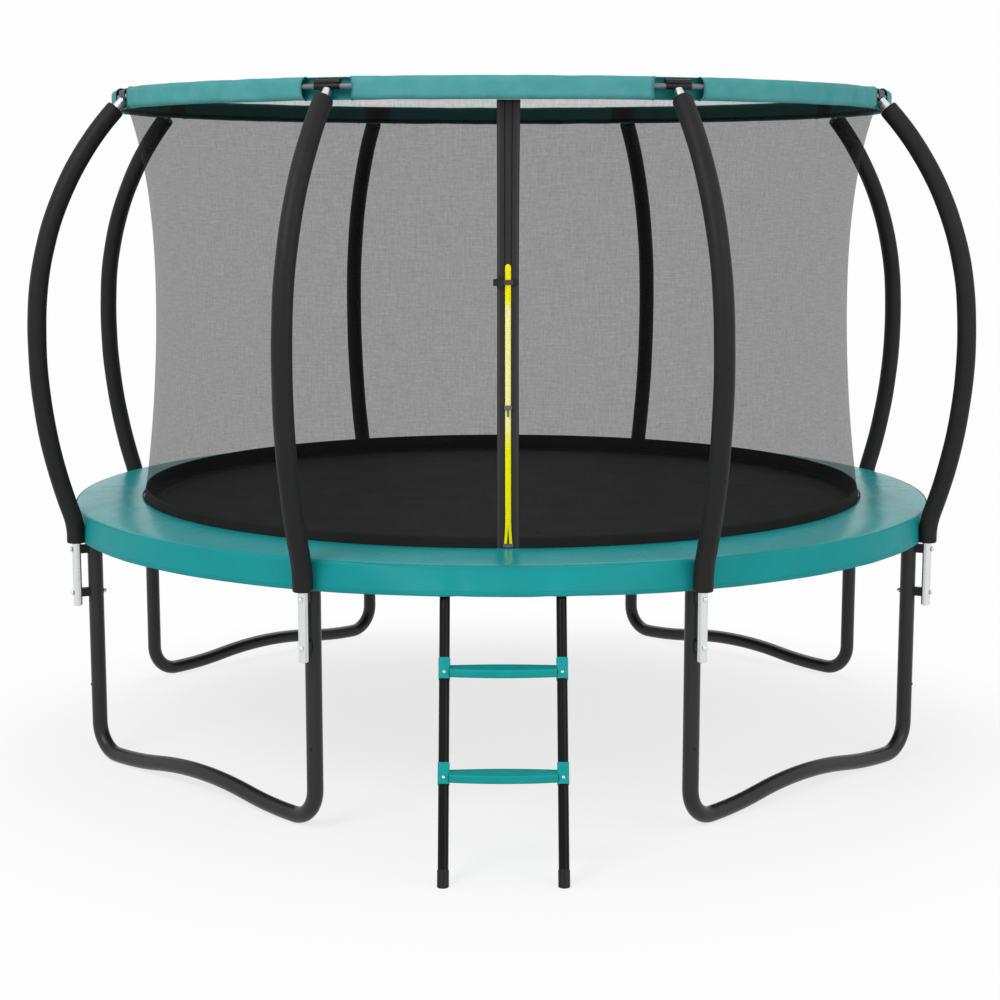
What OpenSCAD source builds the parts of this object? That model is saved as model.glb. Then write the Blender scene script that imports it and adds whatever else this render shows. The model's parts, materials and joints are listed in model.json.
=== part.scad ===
// Round garden trampoline with a safety net on eight bent poles and a two-step ladder.
// Millimetres, +Z up, floor at z = 0, door and ladder on the -Y side.
// The origin is the middle of the whole object's footprint on the floor.

/* [Frame] */
// Radius of the frame ring, to the centre line of its tube
frame_r = 1500; // [1400:5:1600]
// Height of the frame ring's centre line
frame_z = 798; // [780:2:840]
// Outer diameter of the frame and leg tubes
frame_tube_d = 51; // [46:1:54]
// Wall of every steel tube
tube_wall = 1.5; // [1:0.1:2]
// Wall of the sleeve on top of each upright that joins two frame rails
joint_wall = 2; // [1.5:0.1:3]
// Length of that sleeve along the ring
joint_len = 160; // [120:5:200]
// Gap between the ends of two frame rails
rail_end_gap = 4; // [2:1:10]

/* [Legs] */
// Height of the seam between leg base and upright
leg_seam_z = 235; // [200:5:300]
// Centre-line radius of the bends at the floor
leg_bend_r = 100; // [80:5:120]
// Rise of the leg base in the middle, between its two feet
leg_rise = 36; // [20:2:60]
// Length of the base's spigot inside the upright
spigot_len = 65; // [50:5:90]
// Height of the spring button over the seam
button_above_seam = 22; // [15:1:35]
// Diameter of the spring button
button_d = 8; // [6:0.5:10]
// How far the spring button stands out of the upright
button_out = 2.5; // [1.5:0.5:4]
// How far the spring button reaches in past both tube walls
button_in = 2; // [1:0.5:4]
// Bevel of the spring button's end
button_bevel = 1; // [0.5:0.25:1.5]

/* [Poles] */
// Outer diameter of the enclosure poles
pole_d = 30; // [25:1:32]
// Distance from the frame ring's centre line out to the pole
pole_offset = 62.5; // [61:0.5:70]
// Height of the pole's lower end
pole_bottom_z = 540; // [500:5:560]
// Height at which the pole starts to bend outward
kick_z = 776; // [760:2:800]
// Centre-line radius of the outward bend
kick_r = 260; // [220:10:320]
// Angle of the outward bend
kick_angle = 18.9; // [17:0.1:20]
// Centre-line radius of the belly of the pole
belly_r = 1750; // [1700:10:1800]
// Angle turned inward along the belly
belly_turn = 23.2; // [22:0.1:24]
// Centre-line radius of the upper part of the pole
crown_r = 1070; // [1030:5:1100]
// Angle turned inward along the upper part
crown_turn = 39.3; // [38.9:0.1:40]
// Length of bare pole past the end of the bend
pole_tip = 19; // [18:0.5:20]
// Outer diameter of the foam sleeve
foam_d = 62; // [56:1:62]
// Height of the foam's lower end
foam_bottom_z = 753; // [752:1:770]
// Angle by which the foam stops short of the end of the bend
foam_short = 0.2; // [0.2:0.1:1.5]
// Height of the lower pole bolt
bolt_low_z = 582; // [575:1:620]
// Height of the upper pole bolt
bolt_high_z = 731; // [700:1:734]
// Diameter of the pole bolts
bolt_d = 8; // [6:0.5:10]
// Diameter of the bolt's domed head
bolt_head_d = 17; // [14:0.5:18]
// Height of the bolt's domed head
bolt_head_h = 5; // [3:0.5:7]
// Width across the corners of the nut
nut_d = 15; // [13:0.5:17]
// Height of the nut
nut_h = 7; // [5:0.5:9]
// Length of the bolt's thread past the nut
bolt_past = 2; // [1:0.5:4]
// Height of the spacer blocks
spacer_h = 28; // [20:1:30]
// How far the spacer blocks reach round the upright
spacer_lap = 6; // [3:0.5:8]
// How far the spacer blocks reach round the pole
spacer_pole_lap = 4; // [3:0.5:6]
// Width of the spacer blocks
spacer_w = 22; // [18:1:24]

/* [Top ring] */
// How far the rods lie inward of the end of the pole's bend
rod_in = 16; // [15:0.5:18]
// How far the rods lie above the end of the pole's bend
rod_up = 27; // [26:0.5:29]
// Diameter of the ring rods
rod_d = 16; // [12:1:16]
// Outer diameter of the cap's rod sockets
cap_barrel_d = 20; // [19:0.5:22]
// Diameter of the round ridge on top of the rod sockets
cap_ridge_d = 17; // [14:0.5:18]
// Height of the ridge's middle over the rods
cap_ridge_up = 12.5; // [10:0.5:14]
// Length of the cap's rod sockets, both sides together
cap_barrel_len = 84; // [60:2:100]
// Gap between the ends of two rods
rod_end_gap = 4; // [2:1:10]
// Thickness of the cap over the pole's end
cap_end_t = 6; // [5:0.5:8]
// Length of the cap's plug inside the pole
cap_plug_len = 18; // [12:1:30]
// Height of the fabric sleeve round the rods
ring_sleeve_h = 69; // [60:1:80]
// Thickness of the fabric sleeve from front to back
ring_sleeve_t = 34; // [30:1:38]
// How far the sleeve's middle lies inward of the rods
ring_sleeve_in = 6.5; // [3:0.5:6.5]
// How far the sleeve's middle lies below the rods
ring_sleeve_down = 6.5; // [4:0.5:8]
// Thickness of the sleeve's fabric
ring_cloth_t = 2; // [1:0.5:3]
// Radius of the round cut-away at each pole cap
notch_r = 75; // [60:1:85]

/* [Net] */
// Thickness of the net
net_t = 2; // [1.5:0.5:3]
// Height of the net's lower edge over the mat
net_over_mat = 12; // [8:1:20]
// Distance from the mat's edge out to the net
net_outside_mat = 12; // [9:0.5:13]
// How far the net's waist is drawn in from its lower edge
waist_in = 57; // [50:1:65]
// Height of the waist
waist_z = 1600; // [1550:10:1650]
// Share of the net's upper flare that is an even curve
flare_share = 0.66; // [0.5:0.01:0.75]
// Share of the upper net's height at which the steeper flare starts
flare_start = 0.6; // [0.5:0.005:0.8]

/* [Door] */
// Angle of the door's middle, from the front towards +X
door_angle = 0.73; // [0:0.01:2]
// Width of the door strip
strip_w = 66; // [54:1:74]
// Thickness of the door strip
strip_t = 1.5; // [1:0.1:2]
// Width of the zip
zip_w = 19; // [16:1:22]
// Thickness of the zip
zip_t = 2.5; // [1.5:0.5:3]
// Height of the zip's upper end
zip_top_z = 1718; // [1690:2:1740]
// Gap between the zip stop and the net's lower edge
zip_stop_up = 14; // [14:1:20]
// Height of the zip stop
zip_stop_h = 11; // [10:1:18]
// Width of the zip stop
zip_stop_w = 30; // [26:1:34]
// Thickness of the zip stop
zip_stop_t = 5; // [4:0.5:7]
// Height of the slider's middle
slider_z = 1284; // [1200:2:1400]
// Height of the slider's body
slider_h = 14; // [10:1:18]
// Width of the slider's body
slider_w = 24; // [22:1:28]
// Thickness of the slider's body
slider_t = 4; // [3:0.5:5]
// Running gap between slider and zip
slider_gap = 0.3; // [0.2:0.05:0.5]
// Height of the clip's middle
clip_z = 1663; // [1650:1:1680]
// Height of the clip's body
clip_h = 29; // [24:1:32]
// Width of the clip's body
clip_w = 21; // [18:1:24]
// Thickness of the clip's body
clip_t = 9; // [8:0.5:10]
// How far the clip's body stands out past the strip
clip_over = 2; // [1:0.5:6]
// Distance from the door's middle to the tongue's free end
tongue_end_x = 15; // [12:0.5:18]
// Height of the clip's tongue
tongue_h = 15; // [12:1:18]
// Thickness of the clip's tongue
tongue_t = 3; // [2:0.5:4]
// Clearance round the tongue in the clip's body
tongue_gap = 0.3; // [0.2:0.05:0.5]
// Depth of the tongue in the clip's body
tongue_depth = 12; // [8:1:15]

/* [Mat and springs] */
// Distance from the frame ring's centre line in to the mat's edge
mat_gap = 221; // [215:1:230]
// Height of the mat's top over the frame ring's centre line
mat_above_frame = 36; // [34:0.5:38]
// Thickness of the mat with its edge band
mat_t = 4; // [3:0.5:5]
// Number of springs
spring_count = 64; // [48:8:72]
// Outer diameter of the spring coils
spring_d = 20; // [16:1:20]
// Length of the spring coils
spring_coil_len = 130; // [110:1:136]
// Diameter of the spring and ring wire
wire_d = 4; // [3:0.5:4]
// Length of the mat rings' inner side
mat_ring_w = 36; // [30:1:40]
// How far the mat rings stand out of the mat
mat_ring_out = 20; // [16:1:22]
// Free gap between parts that rest against each other
seat_gap = 0.2; // [0.1:0.05:0.3]

/* [Safety pad] */
// Gap between the net and the pad's inner edge
pad_in_gap = 3; // [2:0.5:6]
// Height of the pad's inner top edge over the mat
pad_over_mat = 25; // [22:1:30]
// Thickness of the pad at its inner edge
pad_inner_t = 16; // [14:1:17]
// Thickness of the pad at its outer edge
pad_outer_t = 21; // [16:1:24]
// Width of the pad's level outer part
pad_flat_w = 58; // [56:1:64]
// Bevel of the pad's inner top edge
pad_lip = 4; // [2:0.5:6]
// Gap between the pad's outer edge and the frame's sleeves
pad_gap = 0.5; // [0.2:0.1:1]
// Room beside and over each ladder hook in the pad
hook_room = 3; // [2:0.5:5]
// Crown of the pad's top
pad_crown = 2; // [0:0.5:4]
// Drop of the skirt from the pad's top
skirt_drop = 94; // [80:1:95]
// Thickness of the skirt
skirt_t = 2.5; // [1.5:0.5:3]
// Half of the angle that the front flap spans
flap_half_angle = 8; // [7.8:0.1:9]
// How far the flap's lower edge hangs out over the ladder
flap_out = 60; // [59:1:70]
// Height of the flap's lower edge
flap_bottom_z = 766; // [762:1:770]

/* [Ladder] */
// Distance between the ladder rails
ladder_w = 342; // [300:1:380]
// Outer diameter of the ladder rails
ladder_tube_d = 31; // [28:1:31]
// Lean of the ladder from upright
ladder_lean = 25; // [20:0.5:28]
// Gap between the ladder rail and the frame ring
ladder_gap = 1.5; // [1.3:0.1:3]
// Thickness of the hook's strap
hook_t = 3.5; // [3:0.5:4]
// Width of the hook's strap
hook_w = 20; // [14:1:20]
// Depth by which the rail stands in past the strap that is welded to it
rail_weld = 0.5; // [0.3:0.1:1]
// Angle of the hook's free end below the frame ring's centre
hook_end_angle = 20; // [10:1:30]
// Distance from the hook's level down to the rail's upper end
rail_short = 30; // [28:1:40]
// Height of the lower step's clamps
step_low_z = 288.5; // [280:0.5:300]
// Rise from the lower step to the upper one
step_rise = 277; // [260:1:290]
// Width of the step clamps
clamp_w = 34; // [34:1:38]
// Depth of the step clamps
clamp_depth = 40; // [36:1:44]
// Length of the step clamps along the rail
clamp_len = 62; // [54:1:70]
// Corner radius of the step clamps
clamp_round = 6; // [3:0.5:8]
// Depth of the treads at their ends
tread_depth = 56; // [50:1:60]
// How far the treads' front edge bulges out in the middle
tread_front_bulge = 14; // [4:1:20]
// How far the treads' back edge bulges out in the middle
tread_back_bulge = 10; // [4:1:20]
// Height of the treads
tread_h = 25; // [18:1:34]
// Edge radius of the treads
tread_round = 6; // [3:0.5:8]
// Depth by which the treads run into their clamps
tread_in = 1; // [0.5:0.1:1.2]
// How far the treads lie below the middle of the clamps
tread_down = 6; // [4:1:10]
// Outer diameter of the ladder's foot caps
foot_d = 34; // [34:1:38]
// Length of the foot caps
foot_len = 46; // [40:1:60]
// Thickness of the foot caps' sole
foot_sole = 4; // [3:0.5:8]
// Diameter of the screw heads
screw_head_d = 10; // [8:0.5:12]
// Height of the screw heads
screw_head_h = 2.5; // [2:0.5:4]
// Diameter of the screw shanks
screw_d = 4.5; // [4:0.5:5]
// Distance of the screws below the middle of the clamps
screw_down = 13; // [10:1:18]

/* [Hidden] */
$fn = 48;
fine = 96;          // facets of tube sections
round_fn = 360;     // facets of large circles and arcs
fit = 0.15;         // radial clearance of tubes that slide into each other
seam = 0.02;        // shortening of each end of a bent run, where a collar joins it to the next
cut = 1;            // extra length of every cutting shape
poles = 8;
step_angle = 360 / poles;
first_angle = step_angle / 2;
front = -90;        // direction of the door in the XY plane

// Frame and legs
tube_r = frame_tube_d / 2;
tube_bore = frame_tube_d - 2 * tube_wall;
joint_d = frame_tube_d + 2 * joint_wall;
joint_half_angle = joint_len / 2 / frame_r * 180 / PI;
rail_gap_angle = rail_end_gap / 2 / frame_r * 180 / PI;
spigot_d = tube_bore - 2 * fit;
spigot_bore = spigot_d - 2 * tube_wall;
button_z = leg_seam_z + button_above_seam;
leg_mid_r = frame_r * cos(first_angle);
leg_half = frame_r * sin(first_angle);
sway_run = (leg_half - leg_bend_r) / 2;
sway_angle = 2 * atan(leg_rise / 2 / sway_run);
sway_r = sway_run / sin(sway_angle);

// Pole centre line, in a plane with the radius as X
pole_r0 = frame_r + pole_offset;
kick_x = pole_r0 + kick_r;
belly_from = [kick_x - kick_r * cos(kick_angle), kick_z + kick_r * sin(kick_angle)];
belly_mid = belly_from - belly_r * [cos(kick_angle), -sin(kick_angle)];
lean_in = belly_turn - kick_angle;
crown_from = belly_mid + belly_r * [cos(lean_in), sin(lean_in)];
crown_mid = crown_from - crown_r * [cos(lean_in), sin(lean_in)];
tip_angle = lean_in + crown_turn;
pole_end = crown_mid + crown_r * [cos(tip_angle), sin(tip_angle)];
foam_in_r = pole_r0 - foam_d / 2;
bolt_heights = [bolt_low_z, bolt_high_z];

// Top ring
ring_r = pole_end[0] - rod_in;
ring_z = pole_end[1] + rod_up;
sleeve_mid_r = ring_r - ring_sleeve_in;
sleeve_mid_z = ring_z - ring_sleeve_down;
rod_gap_angle = rod_end_gap / 2 / ring_r * 180 / PI;
cap_half_angle = cap_barrel_len / 2 / ring_r * 180 / PI;

// Mat, net and pad
mat_r = frame_r - mat_gap;
mat_top_z = frame_z + mat_above_frame;
net_low_z = mat_top_z + net_over_mat;
net_low_r = mat_r + net_outside_mat;
waist_r = net_low_r - waist_in;
waist_h = waist_z - net_low_z;
low_arc_r = (waist_h * waist_h + waist_in * waist_in) / (2 * waist_in);
net_top_z = sleeve_mid_z - ring_sleeve_h / 2 + ring_sleeve_t / 2;
net_top_r = sleeve_mid_r - ring_sleeve_t / 2 + net_t / 2;
flare = net_top_r - waist_r;
low_steps = 16;
high_steps = 16;
function low_r(z) = waist_r + low_arc_r - sqrt(low_arc_r * low_arc_r - (waist_z - z) * (waist_z - z));
function steep(u) = max(0, u - flare_start) / (1 - flare_start);
function flare_r(u) = waist_r + flare * (flare_share * u * u + (1 - flare_share) * steep(u) * steep(u));
net_line = concat(
    [for (i = [0:low_steps]) let (z = net_low_z + waist_h * i / low_steps) [z, low_r(z)]],
    [for (i = [1:high_steps]) let (u = i / high_steps) [waist_z + (net_top_z - waist_z) * u, flare_r(u)]]
);
function net_r(z) = lookup(z, net_line);
pad_in_r = net_low_r + net_t / 2 + pad_in_gap;
pad_out_r = frame_r + joint_d / 2 + pad_gap;
pad_bottom_z = frame_z + joint_d / 2 + seat_gap;
pad_flat_r = pad_out_r - pad_flat_w;
pad_inner_top_z = mat_top_z + pad_over_mat;
pad_outer_top_z = pad_bottom_z + pad_outer_t;
pad_mid_r = (pad_in_r + pad_out_r) / 2;
pad_mid_z = (pad_inner_top_z + pad_outer_top_z) / 2 + pad_crown;
skirt_bottom_z = pad_outer_top_z - skirt_drop;
flap_gap_angle = seat_gap / pad_out_r * 180 / PI;

// Springs, in a plane with the radius as X
hook_in = [mat_r + mat_ring_out + wire_d / 2, mat_top_z - mat_t / 2];
to_rail = [frame_r, frame_z] - hook_in;
hook_start = seat_gap + wire_d / 4;
hook_run = norm(to_rail) - tube_r - seat_gap;
hook_run_at_joint = hook_run - joint_wall;
hook_drop = -atan2(to_rail[1], to_rail[0]);

// Door
zip_low_z = net_low_z + zip_stop_up + zip_stop_h;
strip_in = net_t / 2 + seat_gap;
zip_in = strip_in + strip_t;
zip_out = zip_in + zip_t;
slider_in = zip_out + slider_gap;
tongue_in = zip_out + tongue_gap;
clip_mid_x = strip_w / 2 + clip_over - clip_w / 2;

// Ladder: its own frame has the frame ring's axis as origin and the rail direction as Z
ladder_x = ladder_w / 2;
ladder_y = -sqrt(frame_r * frame_r - ladder_x * ladder_x);
hook_in_r = tube_r + ladder_gap;
ladder_off = hook_in_r - rail_weld + ladder_tube_d / 2;
ladder_bore = ladder_tube_d - 2 * tube_wall;
weld_in = 0.2;      // step between the hook's bend and its straight end
function along_rail(z) = (z - frame_z - ladder_off * sin(ladder_lean)) / cos(ladder_lean);
function rail_y(z) = ladder_y - ladder_off * cos(ladder_lean) + along_rail(z) * sin(ladder_lean);
rail_foot = along_rail(0) + ladder_tube_d / 2 * tan(ladder_lean) + foot_sole;
clamp_bore = ladder_tube_d + 2 * fit;

// The object's middle on the floor, so that the whole footprint is centred on the origin
front_reach = -rail_y(0) + foot_d / 2 / cos(ladder_lean);
rear_reach = (belly_mid[0] + belly_r) * cos(first_angle) + foam_d / 2;
centre_y = (front_reach - rear_reach) / 2;

function pole_angle(k) = first_angle + step_angle * (k - 1);

// Helpers

// Moves children from a plane whose X is the radius to an angle counted from the front
module at_angle(a) {
    rotate([0, 0, front + a]) children();
}

module on_floor() {
    translate([0, centre_y, 0]) children();
}

module ring_section(d, bore) {
    difference() {
        circle(d = d, $fn = fine);
        circle(d = bore, $fn = fine);
    }
}

// Straight tube, its axis along Z
module tube(d, bore, h) {
    difference() {
        cylinder(d = d, h = h, $fn = fine);
        translate([0, 0, -cut]) cylinder(d = bore, h = h + 2 * cut, $fn = fine);
    }
}

// Tube bent in the XZ plane round a centre, from angle a0 to a1
module bent_tube(mid, r, a0, a1, d, bore) {
    trim = seam / r * 180 / PI;
    translate([mid[0], 0, mid[1]])
        rotate([90, 0, 0])
        rotate([0, 0, a0 + trim])
        rotate_extrude(angle = a1 - a0 - 2 * trim, $fn = round_fn)
        translate([r, 0])
        ring_section(d, bore);
}

// Collar within the wall that makes one tube of two runs, at a point where the tube leans outward
module run_joint(at, lean, d, bore) {
    wall = (d - bore) / 2;
    translate([at[0], 0, at[1]]) rotate([0, lean, 0]) translate([0, 0, -wall])
        tube(d - 2 * wall / 3, bore + 2 * wall / 3, 2 * wall);
}

// Solid bar bent level round the Z axis, centred on angle 0
module level_bar(r, z, half_angle, d) {
    rotate([0, 0, -half_angle])
        rotate_extrude(angle = 2 * half_angle, $fn = round_fn)
        translate([r, z])
        circle(d = d, $fn = fine);
}

// The pole's centre line as a tube, from a height on its straight part to an angle on its bend
module pole_run(d, bore, from_z, to_angle) {
    translate([pole_r0, 0, from_z]) tube(d, bore, kick_z - from_z);
    bent_tube([kick_x, kick_z], kick_r, 180 - kick_angle, 180, d, bore);
    bent_tube(belly_mid, belly_r, -kick_angle, lean_in, d, bore);
    bent_tube(crown_mid, crown_r, lean_in, to_angle, d, bore);
    run_joint([pole_r0, kick_z], 0, d, bore);
    run_joint(belly_from, kick_angle, d, bore);
    run_joint(crown_from, -lean_in, d, bore);
}

// Moves children to the end of the pole's bend, with Z along the pole
module at_pole_end() {
    translate([pole_end[0], 0, pole_end[1]]) rotate([0, -tip_angle, 0]) children();
}

// A patch that follows the net from z0 to z1, between x0 and x1 across the door
module door_patch(z0, z1, x0, x1, in, thick) {
    heights = concat([z0], [for (p = net_line) if (p[0] > z0 + 1 && p[0] < z1 - 1) p[0]], [z1]);
    last = len(heights) - 1;
    turn = 180 / PI / net_r((z0 + z1) / 2);
    at_angle(door_angle + x0 * turn)
        rotate_extrude(angle = (x1 - x0) * turn, $fn = round_fn)
        polygon(concat(
            [for (z = heights) [net_r(z) + in, z]],
            [for (i = [last:-1:0]) [net_r(heights[i]) + in + thick, heights[i]]]
        ));
}

// Outline of the ring's fabric sleeve, grown by a margin
module sleeve_outline(grow) {
    flat_h = ring_sleeve_h - ring_sleeve_t;
    d = ring_sleeve_t + 2 * grow;
    translate([sleeve_mid_r, sleeve_mid_z]) {
        translate([-d / 2, -flat_h / 2]) square([d, flat_h]);
        for (side = [-1, 1])
            translate([0, side * flat_h / 2]) circle(d = d, $fn = fine);
    }
}

// Moves children to the ladder's own frame
module on_ladder() {
    translate([0, ladder_y, frame_z]) rotate([-ladder_lean, 0, 0]) children();
}

// Rounded rectangle, centred
module round_rect(w, h, r) {
    square([w - 2 * r, h], center = true);
    square([w, h - 2 * r], center = true);
    for (x = [-1, 1], y = [-1, 1])
        translate([x * (w / 2 - r), y * (h / 2 - r)]) circle(r = r);
}

// Legs and frame

module leg_spigot() {
    translate([0, 0, leg_seam_z - 3 * cut]) tube(frame_tube_d, spigot_bore, 3 * cut);
    translate([0, 0, leg_seam_z]) tube(spigot_d, spigot_bore, spigot_len);
}

// One end of the leg base: stub, spigot and floor bend, drawn at the origin with the base towards +X
module leg_end() {
    bend_z = tube_r + leg_bend_r;
    translate([0, 0, bend_z]) tube(frame_tube_d, tube_bore, leg_seam_z - 3 * cut - bend_z);
    leg_spigot();
    bent_tube([leg_bend_r, bend_z], leg_bend_r, 180, 270, frame_tube_d, tube_bore);
    bent_tube([leg_bend_r, tube_r + sway_r], sway_r, 270, 270 + sway_angle, frame_tube_d, tube_bore);
    run_joint([0, bend_z], 0, frame_tube_d, tube_bore);
    run_joint([leg_bend_r, tube_r], 90, frame_tube_d, tube_bore);
    run_joint([leg_bend_r + sway_run, tube_r + leg_rise / 2], 90 - sway_angle, frame_tube_d, tube_bore);
}

module leg_base(k) {
    color([0.2, 0.2, 0.2]) on_floor() at_angle((k - 0.5) * 2 * step_angle)
        translate([leg_mid_r, 0, 0]) rotate([0, 0, 90])
        difference() {
            union() {
                for (side = [0, 1]) mirror([side, 0, 0]) translate([-leg_half, 0, 0]) leg_end();
                bent_tube([0, tube_r + leg_rise - sway_r], sway_r, 90 - sway_angle, 90 + sway_angle,
                    frame_tube_d, tube_bore);
            }
            for (side = [-1, 1])
                translate([side * leg_half, 0, button_z]) rotate([0, 0, -90 + side * first_angle])
                    rotate([0, 90, 0]) cylinder(d = button_d + 2 * fit, h = frame_tube_d);
        }
}

module leg_upright(k) {
    color([0.2, 0.2, 0.2]) on_floor() at_angle(pole_angle(k))
        difference() {
            union() {
                translate([frame_r, 0, leg_seam_z])
                    cylinder(d = frame_tube_d, h = frame_z - leg_seam_z, $fn = fine);
                level_bar(frame_r, frame_z, joint_half_angle, joint_d);
            }
            translate([frame_r, 0, leg_seam_z - cut])
                cylinder(d = tube_bore, h = frame_z - joint_d / 2 - leg_seam_z, $fn = fine);
            level_bar(frame_r, frame_z, 2 * joint_half_angle, frame_tube_d + 2 * fit);
            translate([frame_r, 0, button_z]) rotate([0, 90, 0])
                cylinder(d = button_d + 2 * fit, h = frame_tube_d);
            for (z = bolt_heights)
                translate([frame_r - frame_tube_d, 0, z]) rotate([0, 90, 0])
                    cylinder(d = bolt_d + 2 * fit, h = 2 * frame_tube_d);
        }
}

module leg_buttons() {
    inside = tube_wall * 2 + fit + button_in;
    color([0.6, 0.6, 0.6]) on_floor() for (k = [1:poles]) at_angle(pole_angle(k))
        translate([frame_r + tube_r - inside, 0, button_z]) rotate([0, 90, 0]) {
            cylinder(d = button_d, h = inside + button_out - button_bevel);
            translate([0, 0, inside + button_out - button_bevel])
                cylinder(d1 = button_d, d2 = button_d - 3 * button_bevel, h = button_bevel);
        }
}

module frame_rail(k) {
    from = pole_angle(k) + rail_gap_angle;
    color([0.55, 0.56, 0.57]) on_floor() at_angle(from)
        rotate_extrude(angle = step_angle - 2 * rail_gap_angle, $fn = round_fn)
        translate([frame_r, frame_z])
        ring_section(frame_tube_d, tube_bore);
}

// Poles

module pole(k) {
    color([0.85, 0.87, 0.87]) on_floor() at_angle(pole_angle(k))
        difference() {
            union() {
                pole_run(pole_d, pole_d - 2 * tube_wall, pole_bottom_z, tip_angle);
                at_pole_end() tube(pole_d, pole_d - 2 * tube_wall, pole_tip);
                run_joint(pole_end, -tip_angle, pole_d, pole_d - 2 * tube_wall);
            }
            for (z = bolt_heights)
                translate([pole_r0 - pole_d, 0, z]) rotate([0, 90, 0])
                    cylinder(d = bolt_d + 2 * fit, h = 2 * pole_d);
        }
}

module foam_sleeve(k) {
    color([0.19, 0.19, 0.19]) on_floor() at_angle(pole_angle(k))
        pole_run(foam_d, pole_d + 2 * seat_gap, foam_bottom_z, tip_angle - foam_short);
}

module pole_spacers() {
    color([0.08, 0.08, 0.08]) on_floor() for (k = [1:poles], z = bolt_heights)
        at_angle(pole_angle(k)) difference() {
            translate([frame_r + tube_r - spacer_lap, -spacer_w / 2, z - spacer_h / 2])
                cube([pole_offset - tube_r - pole_d / 2 + spacer_lap + spacer_pole_lap, spacer_w, spacer_h]);
            translate([frame_r, 0, z - spacer_h]) cylinder(r = tube_r + seat_gap / 2, h = 2 * spacer_h, $fn = fine);
            translate([pole_r0, 0, z - spacer_h]) cylinder(d = pole_d + seat_gap, h = 2 * spacer_h, $fn = fine);
            translate([frame_r, 0, z]) rotate([0, 90, 0]) cylinder(d = bolt_d + 2 * fit, h = 2 * pole_offset);
        }
}

// Bolt from the outer side of the pole to the inner side of the upright
module pole_bolt() {
    inner = -tube_r;
    outer = pole_offset + pole_d / 2;
    rotate([0, 90, 0]) {
        translate([0, 0, inner - nut_h - bolt_past]) cylinder(d = bolt_d, h = outer - inner + nut_h + bolt_past + cut);
        translate([0, 0, inner - nut_h]) cylinder(d = nut_d, h = nut_h, $fn = 6);
        translate([0, 0, outer]) cylinder(d1 = bolt_head_d, d2 = bolt_head_d / 2, h = bolt_head_h);
    }
}

module pole_bolts() {
    color([0.8, 0.8, 0.8]) on_floor() for (k = [1:poles], z = bolt_heights)
        at_angle(pole_angle(k)) translate([frame_r, 0, z]) pole_bolt();
}

// Top ring

module pole_caps() {
    color([0.07, 0.07, 0.07]) on_floor() for (k = [1:poles]) at_angle(pole_angle(k))
        difference() {
            union() {
                at_pole_end() {
                    translate([0, 0, pole_tip + fit]) cylinder(d = pole_d, h = cap_end_t, $fn = fine);
                    translate([0, 0, pole_tip - cap_plug_len])
                        cylinder(d = pole_d - 2 * tube_wall - 2 * fit, h = cap_plug_len + cap_end_t / 2, $fn = fine);
                }
                level_bar(ring_r, ring_z, cap_half_angle, cap_barrel_d);
                level_bar(ring_r, ring_z + cap_ridge_up, cap_half_angle, cap_ridge_d);
            }
            level_bar(ring_r, ring_z, 2 * cap_half_angle, rod_d + 2 * fit);
        }
}

module ring_rods() {
    color([0.45, 0.45, 0.46]) on_floor() for (k = [1:poles])
        at_angle(pole_angle(k) + step_angle / 2)
        level_bar(ring_r, ring_z, step_angle / 2 - rod_gap_angle, rod_d);
}

module ring_sleeve() {
    color([0.3, 0.6, 0.61]) on_floor() difference() {
        rotate_extrude($fn = round_fn) difference() {
            sleeve_outline(0);
            sleeve_outline(-ring_cloth_t);
        }
        for (k = [1:poles]) at_angle(pole_angle(k))
            translate([sleeve_mid_r - ring_sleeve_t / 4, 0, sleeve_mid_z]) rotate([0, 90, 0])
            cylinder(r = notch_r, h = ring_sleeve_t, $fn = fine);
    }
}

// Net and door

module net() {
    last = len(net_line) - 1;
    color([0.35, 0.36, 0.36]) on_floor() rotate_extrude($fn = round_fn) difference() {
        polygon(concat(
            [for (p = net_line) [p[1] - net_t / 2, p[0]]],
            [for (i = [last:-1:0]) [net_line[i][1] + net_t / 2, net_line[i][0]]]
        ));
        sleeve_outline(0);
    }
}

module door_strip() {
    color([0.21, 0.21, 0.21]) on_floor()
        door_patch(net_low_z, net_top_z - ring_sleeve_t / 2, -strip_w / 2, strip_w / 2, strip_in, strip_t);
}

module zip_tape() {
    color([0.93, 0.92, 0.25]) on_floor()
        door_patch(zip_low_z, zip_top_z, -zip_w / 2, zip_w / 2, zip_in, zip_t);
}

module zip_slider() {
    color([0.4, 0.45, 0.44]) on_floor() {
        door_patch(slider_z - slider_h / 2, slider_z + slider_h / 2, -slider_w / 2, slider_w / 2,
            slider_in, slider_t);
        door_patch(slider_z - 2 * slider_h, slider_z - slider_h / 4, -slider_w / 8, slider_w / 8,
            slider_in + slider_t / 2, slider_t);
    }
}

module zip_stop() {
    color([0.45, 0.47, 0.47]) on_floor()
        door_patch(net_low_z + zip_stop_up, zip_low_z, -zip_stop_w / 2, zip_stop_w / 2, zip_in, zip_stop_t);
}

module door_clip() {
    left = -clip_mid_x - clip_w / 2;
    tongue_room = tongue_h + 2 * tongue_gap;
    color([0.1, 0.1, 0.1]) on_floor() {
        difference() {
            door_patch(clip_z - clip_h / 2, clip_z + clip_h / 2, left, left + clip_w, zip_in, clip_t);
            door_patch(clip_z - tongue_room / 2, clip_z + tongue_room / 2,
                left + clip_w - tongue_depth - 2 * tongue_gap, left + clip_w + cut,
                tongue_in - tongue_gap, tongue_t + 2 * tongue_gap);
        }
        door_patch(clip_z - clip_h / 3, clip_z + clip_h / 3, zip_w / 2 + cut, strip_w / 2, zip_in, zip_t / 2);
    }
}

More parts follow.
